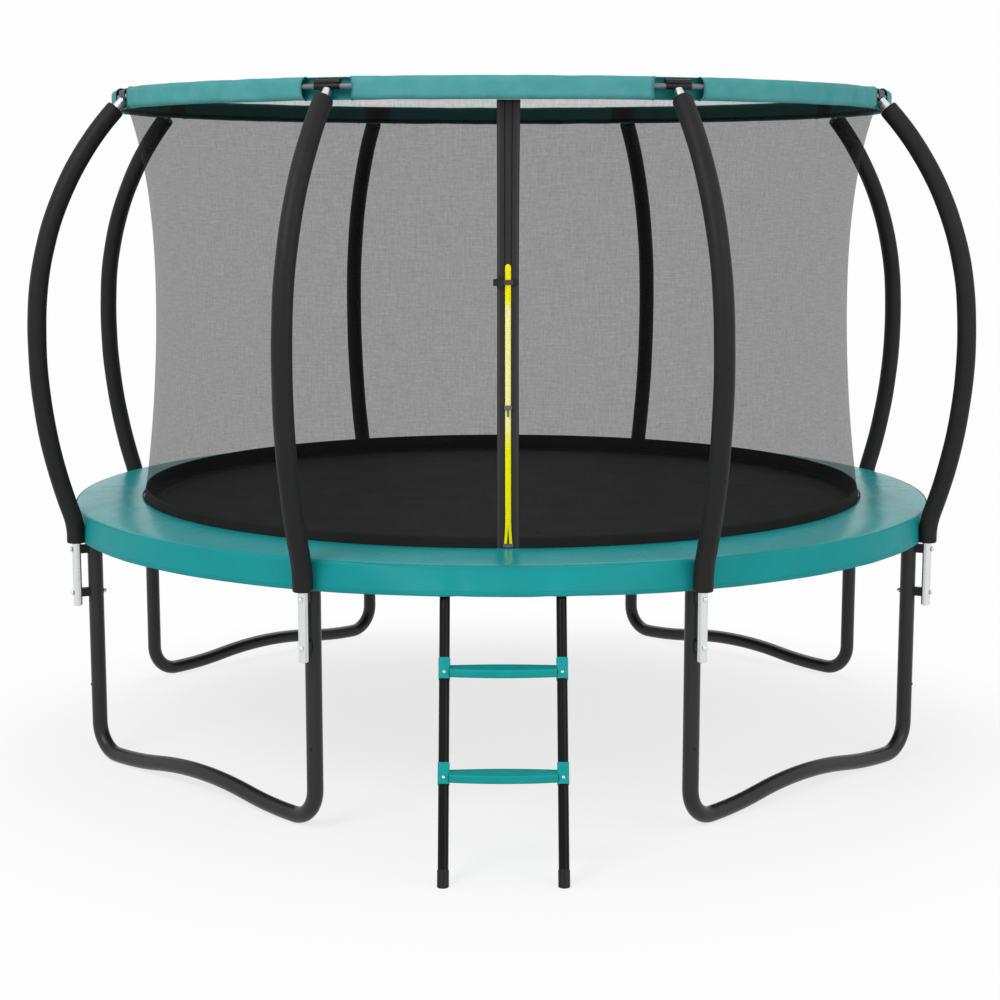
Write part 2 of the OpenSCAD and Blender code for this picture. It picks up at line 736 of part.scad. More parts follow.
module clip_tongue() {
    root = -clip_mid_x + clip_w / 2;
    color([0.27, 0.26, 0.28]) on_floor()
        door_patch(clip_z - tongue_h / 2, clip_z + tongue_h / 2, root - tongue_depth, tongue_end_x,
            tongue_in, tongue_t);
}

// Mat, springs and pad

module jump_mat() {
    color([0.14, 0.14, 0.14]) on_floor()
        translate([0, 0, mat_top_z - mat_t]) cylinder(r = mat_r, h = mat_t, $fn = round_fn);
}

module mat_rings() {
    inner = mat_r + seat_gap;
    apex = mat_r + mat_ring_out;
    hole = mat_ring_w / 2 - 2 * wire_d;
    color([0.7, 0.7, 0.7]) on_floor() for (i = [0.5:1:spring_count])
        at_angle(i * 360 / spring_count)
        translate([0, 0, mat_top_z - mat_t / 2 - wire_d / 2])
        linear_extrude(wire_d)
        difference() {
            polygon([[inner, -mat_ring_w / 2], [apex, -wire_d], [apex, wire_d], [inner, mat_ring_w / 2]]);
            polygon([[inner + wire_d, -hole], [apex - wire_d, -wire_d / 2], [apex - wire_d, wire_d / 2],
                [inner + wire_d, hole]]);
        }
}

// True where a spring meets the sleeve that joins two frame rails
function at_joint(angle) = abs(angle % step_angle - first_angle) < 1.1 * joint_half_angle;

module springs() {
    coil_from = (hook_run - spring_coil_len) / 2;
    color([0.75, 0.75, 0.76]) on_floor() for (i = [0.5:1:spring_count]) {
        angle = i * 360 / spring_count;
        reach = (at_joint(angle) ? hook_run_at_joint : hook_run) + wire_d / 2;
        at_angle(angle) translate([hook_in[0] - wire_d / 2, 0, hook_in[1]]) rotate([0, 90 + hook_drop, 0]) {
            translate([0, 0, hook_start]) cylinder(d = wire_d, h = reach - hook_start);
            translate([0, 0, coil_from]) cylinder(d = spring_d, h = spring_coil_len);
        }
    }
}

module safety_pad() {
    color([0.25, 0.58, 0.59]) on_floor() difference() {
        rotate_extrude($fn = round_fn) polygon([
            [pad_in_r, pad_inner_top_z - pad_inner_t],
            [pad_flat_r, pad_bottom_z],
            [pad_out_r, pad_bottom_z],
            [pad_out_r, skirt_bottom_z],
            [pad_out_r + skirt_t, skirt_bottom_z],
            [pad_out_r + skirt_t, pad_outer_top_z],
            [pad_mid_r, pad_mid_z],
            [pad_in_r + pad_lip, pad_inner_top_z],
            [pad_in_r, pad_inner_top_z - pad_lip]
        ]);
        // The skirt stops at the front flap
        at_angle(-flap_half_angle)
            rotate_extrude(angle = 2 * flap_half_angle, $fn = round_fn)
            translate([pad_out_r - seat_gap, skirt_bottom_z - cut])
            square([2 * skirt_t, skirt_drop + 2 * cut]);
        // Room for the ladder hooks over the frame rail
        for (side = [-1, 1])
            translate([side * ladder_x - hook_w / 2 - hook_room, ladder_y - 2 * tube_r, pad_bottom_z - cut])
            cube([hook_w + 2 * hook_room, 4 * tube_r,
                hook_in_r + hook_t + hook_room / 4 + frame_z - pad_bottom_z + cut]);
    }
}

module front_flap() {
    drop = pad_outer_top_z - flap_bottom_z;
    line = [for (p = [[0, 0], [0.55, 0.43], [0.86, 0.765], [1, 1]])
        [p[0] * flap_out, pad_outer_top_z - p[1] * drop]];
    color([0.14, 0.6, 0.6]) on_floor() at_angle(-flap_half_angle + flap_gap_angle)
        rotate_extrude(angle = 2 * (flap_half_angle - flap_gap_angle), $fn = round_fn)
        translate([pad_out_r, 0])
        polygon(concat(
            [for (p = line) p],
            [for (i = [3:-1:0]) [line[i][0] + skirt_t, line[i][1]]]
        ));
}

// Ladder

module ladder_rail(side) {
    color([0.16, 0.16, 0.16]) on_floor() on_ladder() translate([side * ladder_x, 0, 0])
        difference() {
            union() {
                translate([0, -ladder_off, rail_foot]) tube(ladder_tube_d, ladder_bore, -rail_short - rail_foot);
                // Strap from the rail's inner side, over the frame ring and down behind it
                translate([-hook_w / 2, 0, 0]) rotate([90, 0, 90])
                    rotate([0, 0, -hook_end_angle])
                    rotate_extrude(angle = 180 + hook_end_angle, $fn = round_fn)
                    translate([hook_in_r, 0]) square([hook_t, hook_w]);
                translate([-hook_w / 2 + weld_in, -hook_in_r - hook_t + weld_in, -2 * rail_short])
                    cube([hook_w - 2 * weld_in, hook_t - 2 * weld_in, 2 * rail_short + hook_t]);
            }
            for (z = [step_low_z, step_low_z + step_rise])
                translate([0, -ladder_off, along_rail(z) - screw_down]) rotate([90, 0, 0])
                    cylinder(d = screw_d + 2 * fit, h = ladder_tube_d);
        }
}

module ladder_clamp() {
    difference() {
        translate([0, 0, -clamp_len / 2]) linear_extrude(clamp_len) round_rect(clamp_w, clamp_depth, clamp_round);
        translate([0, 0, -clamp_len]) cylinder(d = clamp_bore, h = 2 * clamp_len, $fn = fine);
        translate([0, 0, -screw_down]) rotate([90, 0, 0]) cylinder(d = screw_d + 2 * fit, h = clamp_depth);
    }
}

// Level disc with a rounded rim
module rim_rounded(r, h, round) {
    rotate_extrude($fn = round_fn) {
        translate([0, -h / 2]) square([r - round, h]);
        translate([0, round - h / 2]) square([r, h - 2 * round]);
        for (side = [-1, 1])
            translate([r - round, side * (h / 2 - round)]) circle(r = round, $fn = 48);
    }
}

// Level board between the clamps: its front and back edges are wide arcs with rounded rims
module tread() {
    half = ladder_x - clamp_w / 2 + tread_in;
    function arc_r(bulge) = (half * half + bulge * bulge) / (2 * bulge);
    front_r = arc_r(tread_front_bulge);
    back_r = arc_r(tread_back_bulge);
    intersection() {
        translate([0, front_r - tread_depth / 2 - tread_front_bulge, 0])
            rim_rounded(front_r, tread_h, tread_round);
        translate([0, tread_depth / 2 + tread_back_bulge - back_r, 0])
            rim_rounded(back_r, tread_h, tread_round);
        cube([2 * half, 2 * tread_depth, 2 * tread_h], center = true);
    }
}

module ladder_step(z) {
    color([0.1, 0.59, 0.57]) on_floor() {
        for (side = [-1, 1])
            on_ladder() translate([side * ladder_x, -ladder_off, along_rail(z)]) ladder_clamp();
        translate([0, rail_y(z - tread_down), z - tread_down]) tread();
    }
}

module ladder_feet() {
    color([0.1, 0.1, 0.1]) on_floor() for (side = [-1, 1]) difference() {
        on_ladder() translate([side * ladder_x, -ladder_off, along_rail(0)]) {
            translate([0, 0, -foot_d]) cylinder(d = foot_d, h = foot_len + foot_d, $fn = fine);
        }
        on_ladder() translate([side * ladder_x, -ladder_off, rail_foot])
            cylinder(d = clamp_bore, h = foot_len, $fn = fine);
        translate([side * ladder_x - foot_d, rail_y(0) - 3 * foot_d, -3 * foot_d])
            cube([2 * foot_d, 6 * foot_d, 3 * foot_d]);
    }
}

module ladder_screws() {
    front_y = -ladder_off - clamp_depth / 2;
    color([0.9, 0.9, 0.9]) on_floor() on_ladder()
        for (side = [-1, 1], z = [step_low_z, step_low_z + step_rise])
        translate([side * ladder_x, front_y, along_rail(z) - screw_down]) rotate([90, 0, 0]) {
            cylinder(d1 = screw_head_d, d2 = 0.7 * screw_head_d, h = screw_head_h);
            translate([0, 0, -clamp_depth / 2 + ladder_bore / 2 - screw_d / 4])
                cylinder(d = screw_d, h = clamp_depth / 2 - ladder_bore / 2 + screw_d / 2);
        }
}

leg_base(1);  // leg_base_1
leg_base(2);  // leg_base_2
leg_base(3);  // leg_base_3
leg_base(4);  // leg_base_4
for (k = [1:8]) {
    leg_upright(k);
    frame_rail(k);
    pole(k);
    foam_sleeve(k);
}
leg_buttons();
pole_spacers();
pole_bolts();
pole_caps();
ring_rods();
ring_sleeve();
net();
door_strip();
zip_tape();
zip_slider();
zip_stop();
door_clip();
clip_tongue();
jump_mat();
mat_rings();
springs();
safety_pad();
front_flap();
ladder_rail(-1);  // ladder_rail_left
ladder_rail(1);  // ladder_rail_right
ladder_step(step_low_z + step_rise);  // ladder_step_upper
ladder_step(step_low_z);  // ladder_step_lower
ladder_feet();
ladder_screws();
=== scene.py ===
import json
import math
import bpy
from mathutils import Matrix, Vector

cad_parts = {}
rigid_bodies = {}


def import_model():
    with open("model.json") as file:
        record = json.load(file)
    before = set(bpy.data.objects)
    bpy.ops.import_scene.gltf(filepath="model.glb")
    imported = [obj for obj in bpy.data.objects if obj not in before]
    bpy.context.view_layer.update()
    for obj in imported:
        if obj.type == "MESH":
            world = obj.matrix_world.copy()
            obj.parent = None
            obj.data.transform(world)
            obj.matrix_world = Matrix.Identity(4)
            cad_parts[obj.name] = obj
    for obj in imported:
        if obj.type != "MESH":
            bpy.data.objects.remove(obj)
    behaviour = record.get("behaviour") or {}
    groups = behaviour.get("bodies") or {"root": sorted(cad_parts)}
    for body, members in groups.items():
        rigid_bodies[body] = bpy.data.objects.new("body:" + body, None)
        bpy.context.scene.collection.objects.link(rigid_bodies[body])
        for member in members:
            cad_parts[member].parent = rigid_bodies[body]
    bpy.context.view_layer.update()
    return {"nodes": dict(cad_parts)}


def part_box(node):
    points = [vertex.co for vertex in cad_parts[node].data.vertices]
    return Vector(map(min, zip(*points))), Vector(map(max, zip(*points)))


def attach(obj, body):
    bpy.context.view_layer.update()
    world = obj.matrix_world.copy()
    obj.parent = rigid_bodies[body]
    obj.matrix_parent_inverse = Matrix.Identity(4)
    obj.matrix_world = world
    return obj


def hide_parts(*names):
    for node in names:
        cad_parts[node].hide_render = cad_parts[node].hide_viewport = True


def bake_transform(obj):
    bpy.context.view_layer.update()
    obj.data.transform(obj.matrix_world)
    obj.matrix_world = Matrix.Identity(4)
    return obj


bl_info = {
    "name": "Garden Trampoline",
    "version": (1, 0, 0),
    "blender": (4, 5, 0),
    "location": "3D View > Sidebar > Trampoline",
    "description": "Dresses the frame of a round trampoline: net, pad, springs, padded poles, door and ladder",
    "category": "Object",
}

import bmesh
import bpy
import numpy as np
from mathutils import Matrix, Vector, noise

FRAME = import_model()

# Sizes in metres that the frame gives. Angles are in degrees from the door towards +X.
MAT_LOW, MAT_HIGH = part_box("jump_mat")
AXIS_Y = (MAT_LOW.y + MAT_HIGH.y) / 2
MAT_R = (MAT_HIGH.x - MAT_LOW.x) / 2
MAT_TOP = MAT_HIGH.z
PAD_LOW, PAD_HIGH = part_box("safety_pad")
SKIRT_R = (PAD_HIGH.x - PAD_LOW.x) / 2
SKIRT_LOW = PAD_LOW.z
POLES = range(1, 9)
FRAME_R = 1.5
FRAME_Z = 0.798
PAD_IN = 1.295

# The pole's centre line: a straight foot, then three bends as (centre radius, centre height,
# bend radius, start angle, end angle)
POLE_R = 1.5625
POLE_BENDS = [
    (1.8225, 0.776, 0.260, 180.0, 161.1),
    (-0.07913, 1.42707, 1.750, -18.9, 4.3),
    (0.598954, 1.47806, 1.070, 4.3, 43.6),
]
SLEEVE_MID = (1.351318, 2.236453)
NET_LOW, NET_WAIST, NET_TOP, NET_SEAM = (1.291, 0.846), (1.234, 1.600), (1.3095, 2.202), (1.3335, 2.2205)
BOLT_HEIGHTS = (("low", 0.582), ("high", 0.731))
DOOR_ANGLE = 0.73
STRIP_HALF = 0.033  # half the door strip's width
CLOTH = 0.0012  # thickness of the thin sheets
PAD_MID_R = 1.41  # where the pad's cover is measured round the ring
SKIRT_TOP = 0.8455
FLAP_HALF = 20.0  # half the angle over which the skirt lies over the ladder
LADDER_LEAN = math.radians(25)
SLEEVE_STEP = 0.0127  # width of one column of the ring sleeve's cloth


def pole_angle(k):
    return 22.5 + 45 * (k - 1)


def spot(angle, radius, z):
    """The point at an angle, on a radius round the mat's axis."""
    a = math.radians(angle)
    return Vector((radius * math.sin(a), AXIS_Y - radius * math.cos(a), z))


def turned(angle):
    """Turns a piece that was made on the +X side at angle 90 round the mat's axis."""
    centre = Matrix.Translation((0, AXIS_Y, 0))
    return centre @ Matrix.Rotation(math.radians(angle - 90), 4, "Z") @ centre.inverted()


def net_radius(z):
    """Radius of the net's surface at a height."""
    if z <= NET_WAIST[1]:
        drawn, high = NET_LOW[0] - NET_WAIST[0], NET_WAIST[1] - NET_LOW[1]
        r = (high * high + drawn * drawn) / (2 * drawn)
        return NET_WAIST[0] + r - math.sqrt(r * r - (NET_WAIST[1] - z) ** 2)
    if z > NET_TOP[1]:  # under the ring's sleeve the net turns out to its seam
        return NET_TOP[0] + (NET_SEAM[0] - NET_TOP[0]) * (z - NET_TOP[1]) / (NET_SEAM[1] - NET_TOP[1])
    v = ((z - NET_WAIST[1]) / (NET_TOP[1] - NET_WAIST[1])) ** 2
    return NET_WAIST[0] + (NET_TOP[0] - NET_WAIST[0]) * (0.72 * v + 0.28 * v * v)


def pole_line(from_z, to_angle, step):
    """Points (radius, height, lean) along the pole, about a step apart."""
    line = [
        (POLE_R, z, 0.0)
        for z in np.linspace(from_z, POLE_BENDS[0][1], max(2, int((POLE_BENDS[0][1] - from_z) / step) + 1))
    ]
    for index, (mid_r, mid_z, r, a0, a1) in enumerate(POLE_BENDS):
        end = to_angle if index == 2 else a1
        count = max(2, int(abs(math.radians(end - a0)) * r / step) + 1)
        for a in np.linspace(a0, end, count)[1:]:
            lean = 180 - a if index == 0 else -a
            line.append((mid_r + r * math.cos(math.radians(a)), mid_z + r * math.sin(math.radians(a)), lean))
    return line


# ---------------------------------------------------------------- meshes


def deselect():
    for other in bpy.context.view_layer.objects:
        other.select_set(False)


def focus(piece):
    """Makes a piece the only selected one, and the active one."""
    deselect()
    bpy.context.view_layer.objects.active = piece
    piece.select_set(True)


def edit_mesh(piece):
    focus(piece)
    bpy.ops.object.mode_set(mode="EDIT")
    return bmesh.from_edit_mesh(piece.data)


def pick(mesh, faces=None, edges=None):
    """Selects only the faces or edges that a test of their middle and direction names."""
    bpy.ops.mesh.select_all(action="DESELECT")
    if faces:
        bpy.ops.mesh.select_mode(type="FACE")
        for f in mesh.faces:
            f.select_set(bool(faces(f.calc_center_median(), f.normal)))
    if edges:
        bpy.ops.mesh.select_mode(type="EDGE")
        for e in mesh.edges:
            e.select_set(
                bool(edges((e.verts[0].co + e.verts[1].co) / 2, (e.verts[1].co - e.verts[0].co).normalized()))
            )
    mesh.select_flush_mode()


def leave_edit():
    bpy.ops.object.mode_set(mode="OBJECT")


def place(piece):
    """Puts the piece's place into its mesh."""
    focus(piece)
    bpy.ops.object.transform_apply(location=True, rotation=True, scale=True)
    return piece


def apply_modifiers(piece):
    focus(piece)
    for modifier in list(piece.modifiers):
        bpy.ops.object.modifier_apply(modifier=modifier.name)
    return piece


def modify(piece, kind, **settings):
    modifier = piece.modifiers.new(kind.title(), kind)
    for name, value in settings.items():
        setattr(modifier, name, value)
    return modifier


def smooth(piece, angle=40):
    focus(piece)
    bpy.ops.object.shade_smooth_by_angle(angle=math.radians(angle))
    return piece


def copied(piece, name, matrix):
    """A copy with its own mesh, moved by a matrix that goes into the mesh."""
    copy = piece.copy()
    copy.data = piece.data.copy()
    copy.name = copy.data.name = name
    copy.data.transform(matrix)
    bpy.context.scene.collection.objects.link(copy)
    return copy


def joined(pieces, name):
    deselect()
    for piece in pieces:
        piece.select_set(True)
    bpy.context.view_layer.objects.active = pieces[0]
    bpy.ops.object.join()
    pieces[0].name = pieces[0].data.name = name
    return pieces[0]


def soft_mesh(name, points, faces, corners=None, outward=True):
    """A mesh object from points and faces. corners holds the (across, along) metres of each face corner."""
    data = bpy.data.meshes.new(name)
    data.from_pydata([tuple(p) for p in points], [], faces)
    if corners is not None:
        layer = data.uv_layers.new(name="Cut")
        layer.data.foreach_set("uv", np.array(corners, np.float32).ravel())
    if outward:
        mesh = bmesh.new()
        mesh.from_mesh(data)
        bmesh.ops.recalc_face_normals(mesh, faces=mesh.faces)
        mesh.to_mesh(data)
        mesh.free()
    piece = bpy.data.objects.new(name, data)
    bpy.context.scene.collection.objects.link(piece)
    data.polygons.foreach_set("use_smooth", [True] * len(data.polygons))
    return piece


def cloth_grid(name, points, across, along, close_across=False, close_along=False, flip=False, outward=False):
    """A grid of cloth. points[i][j] runs across by i and along by j; a closed way has one more
    value in across or along than in points."""
    ni, nj = len(points), len(points[0])
    flat = [p for row in points for p in row]
    faces, corners = [], []
    for i in range(ni if close_across else ni - 1):
        for j in range(nj if close_along else nj - 1):
            i2, j2 = (i + 1) % ni, (j + 1) % nj
            quad = [i * nj + j, i2 * nj + j, i2 * nj + j2, i * nj + j2]
            uv = [
                (across[i], along[j]), (across[i + 1], along[j]), (across[i + 1], along[j + 1]),
                (across[i], along[j + 1])
            ]
            if flip:
                quad.reverse()
                uv.reverse()
            faces.append(quad)
            corners += uv
    return soft_mesh(name, flat, faces, corners, outward)


def running_length(points, closed=False):
    """Length from the first point to each point, in metres."""
    lengths = [0.0]
    for a, b in zip(points, points[1:] + ([points[0]] if closed else [])):
        lengths.append(lengths[-1] + (Vector(b) - Vector(a)).length)
    return lengths


def swept_round(name, path, radius, sides, closed=False, ends=None):
    """A round bar along a path; ends lists (share of radius, step outwards) rings that close each end."""
    path = [Vector(p) for p in path]
    count = len(path)
    rings, up = [], None
    for i, p in enumerate(path):
        before = path[i - 1] if closed or i else p
        after = path[(i + 1) % count] if closed or i < count - 1 else p
        tangent = (after - before).normalized()
        if up is None:
            up = tangent.orthogonal().normalized()
        up = (up - tangent * up.dot(tangent)).normalized()
        side = tangent.cross(up)
        rings.append((p, up.copy(), side, tangent, radius[i] if hasattr(radius, "__len__") else radius))
    points = []
    for p, u, s, t, r in rings:
        points.append(
            [p + (u * math.cos(a) + s * math.sin(a)) * r for a in np.arange(sides) * 2 * math.pi / sides]
        )
    if ends and not closed:
        head, tail = [], []
        for share, step in ends:
            p, u, s, t, r = rings[0]
            head.insert(
                0,
                [
                    p - t * step + (
                        u * math.cos(a) + s * math.sin(a)
                    ) * r * share for a in np.arange(sides) * 2 * math.pi / sides
                ]
            )
            p, u, s, t, r = rings[-1]
            tail.append(
                [
                    p + t * step + (
                        u * math.cos(a) + s * math.sin(a)
                    ) * r * share for a in np.arange(sides) * 2 * math.pi / sides
                ]
            )
        points = head + points + tail
    middle = [sum(ring, Vector()) / sides for ring in points]
    across = running_length(middle, closed)
    r = max(ring[4] for ring in rings)
    along = [2 * math.pi * r * j / sides for j in range(sides + 1)]
    return cloth_grid(name, points, across, along, close_across=closed, close_along=True, outward=True)


# ---------------------------------------------------------------- materials


def linear(code):
    """A hex colour in linear light."""
    value = [int(code[i : i + 2], 16) / 255 for i in (1, 3, 5)]
    return tuple(c / 12.92 if c <= 0.04045 else ((c + 0.055) / 1.055) ** 2.4 for c in value)


def add_node(tree, kind, inputs=None, **settings):
    """Adds a node with its settings. Each input is given a value, or an output socket to link."""
    made = tree.nodes.new(kind)
    for name, value in settings.items():
        setattr(made, name, value)
    for name, value in (inputs or {}).items():
        if isinstance(value, bpy.types.NodeSocket):
            tree.links.new(value, made.inputs[name])
        else:
            made.inputs[name].default_value = value
    return made


def feed(shader, name, value):
    """Links a socket to one of the shader's inputs."""
    shader.id_data.links.new(value, shader.inputs[name])


def new_material(name, inputs):
    """A material of one Principled shader, with that shader's plain values set on its sockets."""
    made = bpy.data.materials.new(name)
    made.use_nodes = True
    tree = made.node_tree
    tree.nodes.clear()
    shader = add_node(tree, "ShaderNodeBsdfPrincipled", inputs)
    add_node(tree, "ShaderNodeOutputMaterial", {"Surface": shader.outputs[0]})
    return made, tree, shader


def colours(tree, factor, stops, mode="LINEAR"):
    """Turns a factor into a colour by stops of (place, linear colour)."""
    ramp = add_node(tree, "ShaderNodeValToRGB", {"Fac": factor})
    ramp.color_ramp.interpolation = mode
    while len(ramp.color_ramp.elements) < len(stops):
        ramp.color_ramp.elements.new(0.5)
    for element, (at, colour) in zip(ramp.color_ramp.elements, stops):
        element.position = at
        element.color = (*colour[:3], 1)
    return ramp.outputs["Color"]


def shade(colour, share):
    return tuple(min(1.0, c * share) for c in colour[:3])


def speckle(tree, place, size_mm, low, high, detail=3.0):
    """Noise whose grains are about size_mm apart, spread over low to high."""
    grain = add_node(tree, "ShaderNodeTexNoise", {"Vector": place, "Scale": 1000 / size_mm, "Detail": detail})
    return spread(tree, grain.outputs["Fac"], 0.3, 0.7, low, high)


def bumped(tree, shader, height, depth_mm, strength=1.0):
    bump = add_node(
        tree, "ShaderNodeBump", {"Height": height, "Strength": strength, "Distance": depth_mm / 1000}
    )
    feed(shader, "Normal", bump.outputs["Normal"])
    return bump


def object_place(tree):
    return add_node(tree, "ShaderNodeTexCoord").outputs["Object"]


def axes(tree, vector):
    """The X, Y and Z outputs of a vector."""
    return add_node(tree, "ShaderNodeSeparateXYZ", {"Vector": vector}).outputs


def cut_place(tree):
    return add_node(tree, "ShaderNodeUVMap", uv_map="Cut").outputs["UV"]


def math_node(tree, operation, *values, clamp=False):
    return add_node(
        tree, "ShaderNodeMath", {i: v for i, v in enumerate(values)}, operation=operation, use_clamp=clamp
    ).outputs[0]


def spread(tree, value, start, end, low=0.0, high=1.0, **settings):
    """Maps start to end onto low to high, and holds the value beyond."""
    ends = {"Value": value, "From Min": start, "From Max": end, "To Min": low, "To Max": high}
    return add_node(tree, "ShaderNodeMapRange", ends, **settings).outputs["Result"]


def band(tree, value, at, half_width, soft):
    """1 within half_width of a place, falling to 0 over a soft edge, in metres."""
    away = math_node(tree, "ABSOLUTE", math_node(tree, "SUBTRACT", value, at))
    return spread(tree, away, half_width, half_width + soft, 1.0, 0.0)


def stitches(tree, run, across, places, pitch_mm=5.0, thread_mm=1.2):
    """Rows of stitches: dashes along run at each place across. Drawn coarser than thread so that they show."""
    rows = None
    for at in places:
        row = band(tree, across, at, thread_mm / 2000, 0.0006)
        rows = row if rows is None else math_node(tree, "MAXIMUM", rows, row)
    phase = math_node(tree, "FRACT", math_node(tree, "MULTIPLY", run, 1000 / pitch_mm))
    dash = band(tree, phase, 0.5, 0.30, 0.10)  # a dash fills 0.6 of its pitch and fades at both ends
    return math_node(tree, "MULTIPLY", rows, dash)


def mixed(tree, factor, a, b):
    mix = add_node(tree, "ShaderNodeMix", data_type="RGBA")
    for socket, value in ((mix.inputs[0], factor), (mix.inputs[6], a), (mix.inputs[7], b)):
        if isinstance(value, bpy.types.NodeSocket):
            tree.links.new(value, socket)
        elif hasattr(value, "__len__"):
            socket.default_value = (*value[:3], 1)
        else:
            socket.default_value = value
    return mix.outputs[2]


def weave(tree, place, pitch_mm):
    """Height of a plain weave: threads over and under each other, pitch_mm apart."""
    parts = axes(tree, place)
    turn = 2 * math.pi * 1000 / (2 * pitch_mm)
    u = math_node(tree, "SINE", math_node(tree, "MULTIPLY", parts["X"], turn))
    v = math_node(tree, "SINE", math_node(tree, "MULTIPLY", parts["Y"], turn))
    return math_node(tree, "ABSOLUTE", math_node(tree, "MULTIPLY", u, v))


def powder_coat(name, colour, gloss, specular):
    """Powder-coated steel: a thick baked paint whose fine orange peel breaks up its highlights."""
    made, tree, shader = new_material(name, {"IOR": 1.5, "Specular IOR Level": specular})
    place = object_place(tree)
    tone = speckle(tree, place, 60, 0.0, 1.0)
    feed(shader, "Base Color", colours(tree, tone, [(0.0, shade(colour, 0.92)), (1.0, shade(colour, 1.08))]))
    feed(shader, "Roughness", speckle(tree, place, 18, gloss - 0.03, gloss + 0.03))
    bumped(tree, shader, speckle(tree, place, 3.0, 0.0, 1.0), 0.015)  # orange peel
    return made


def bright_zinc(name, colour):
    """Bright zinc plate on steel: a pale mirror, dulled by fine drawing marks along the tube."""
    made, tree, shader = new_material(name, {"Metallic": 1.0})
    place = object_place(tree)
    drawn = add_node(tree, "ShaderNodeMapping", {"Vector": place, "Scale": (1.0, 1.0, 0.06)})
    marks = speckle(tree, drawn.outputs["Vector"], 1.6, 0.0, 1.0)
    feed(shader, "Base Color", colours(tree, marks, [(0.0, shade(colour, 0.96)), (1.0, colour)]))
    feed(shader, "Roughness", speckle(tree, drawn.outputs["Vector"], 3.0, 0.26, 0.36))
    bumped(tree, shader, marks, 0.006)
    return made


def galvanised_steel(name, colour):
    """Hot-dip galvanised steel: grey zinc crystals, each a little lighter or darker than the next."""
    made, tree, shader = new_material(name, {"Metallic": 1.0})
    place = object_place(tree)
    # spangle about 11 mm
    crystals = add_node(tree, "ShaderNodeTexVoronoi", {"Vector": place, "Scale": 1000 / 11})
    tone = add_node(tree, "ShaderNodeSeparateColor", {"Color": crystals.outputs["Color"]}).outputs["Red"]
    feed(shader, "Base Color", colours(tree, tone, [(0.0, shade(colour, 0.8)), (1.0, shade(colour, 1.15))]))
    feed(shader, "Roughness", spread(tree, tone, 0.0, 1.0, 0.38, 0.56))
    bumped(tree, shader, speckle(tree, place, 5, 0.0, 1.0), 0.05)
    return made


def foam_skin(name, colour):
    """PVC skin over foam tube: matt and slightly dimpled, with a soft mottle where the foam shows through."""
    made, tree, shader = new_material(name, {"IOR": 1.45, "Specular IOR Level": 0.22})
    place = object_place(tree)
    mottle = math_node(tree, "MULTIPLY", speckle(tree, place, 70, 0.2, 1.0), speckle(tree, place, 9, 0.8, 1.0))
    feed(shader, "Base Color", colours(tree, mottle, [(0.0, shade(colour, 0.88)), (1.0, shade(colour, 1.12))]))
    feed(shader, "Roughness", speckle(tree, place, 14, 0.5, 0.6))
    dimples = math_node(tree, "ADD", speckle(tree, place, 4.0, 0.0, 0.4), speckle(tree, place, 40, 0.0, 4.0))
    bumped(tree, shader, dimples, 0.1)
    return made


def moulded(name, colour, gloss, grain_mm=1.6, specular=0.5):
    """Injection-moulded polypropylene: even colour, satin spark-eroded grain, a trace of flow marks."""
    made, tree, shader = new_material(name, {"IOR": 1.49, "Specular IOR Level": specular})
    place = object_place(tree)
    flow = speckle(tree, place, 45, 0.0, 1.0)
    feed(shader, "Base Color", colours(tree, flow, [(0.0, shade(colour, 0.93)), (1.0, shade(colour, 1.07))]))
    feed(shader, "Roughness", speckle(tree, place, 12, gloss - 0.05, gloss + 0.05))
    bumped(tree, shader, speckle(tree, place, grain_mm, 0.0, 1.0), 0.015)
    return made


def woven(
    name, colour, other, pitch_mm, rough, depth_mm=0.08, hems=(), dark_thread=None, mottle_mm=90, specular=0.15,
    bands=()
):
    """Woven polyester: threads that catch the light in turn, and stitched hems where given."""
    made, tree, shader = new_material(name, {"IOR": 1.45, "Specular IOR Level": specular})
    cut = cut_place(tree)
    height = weave(tree, cut, pitch_mm)
    drift = speckle(tree, object_place(tree), mottle_mm, 0.0, 1.0, 2.0)
    base = colours(tree, drift, [(0.0, other), (1.0, colour)])
    threads = mixed(tree, height, shade(colour, 0.72), base)
    parts = axes(tree, cut)
    if hems:
        seam = stitches(tree, parts["X"], parts["Y"], hems)
        threads = mixed(tree, seam, threads, dark_thread or shade(colour, 0.5))
        height = math_node(tree, "SUBTRACT", height, math_node(tree, "MULTIPLY", seam, 1.5))
    for at, half_width, tint in bands:
        threads = mixed(tree, band(tree, parts["X"], at, half_width, 0.0012), threads, tint)
    feed(shader, "Base Color", threads)
    feed(shader, "Roughness", speckle(tree, cut, 20, rough - 0.05, rough + 0.06))
    bumped(tree, shader, height, depth_mm)
    return made


# ---------------------------------------------------------------- settings


def size_setting(name, description, default):
    return bpy.props.FloatProperty(name=name, description=description, default=default, unit="LENGTH")


def colour_setting(name, description, code):
    return bpy.props.FloatVectorProperty(
        name=name, description=description, subtype="COLOR", default=linear(code)
    )


class TrampolineSizes(bpy.types.PropertyGroup):
    foam_diameter: size_setting("Foam Diameter", "Outer diameter of the foam sleeves on the poles", 0.062)
    notch_radius: size_setting(
        "Notch Radius", "Radius of the round cut-away in the ring sleeve at each pole cap", 0.084
    )
    hem_width: size_setting("Net Hem", "Width of the black hem along the net's lower edge", 0.045)
    mat_band: size_setting("Mat Band", "Width of the webbing sewn round the mat's edge", 0.050)
    spring_count: bpy.props.IntProperty(
        name="Springs", description="Number of springs between mat and frame", default=64, min=8
    )
    spring_wire: size_setting("Spring Wire", "Diameter of the spring wire", 0.004)
    spring_diameter: size_setting("Spring Diameter", "Outer diameter of the spring coils", 0.020)


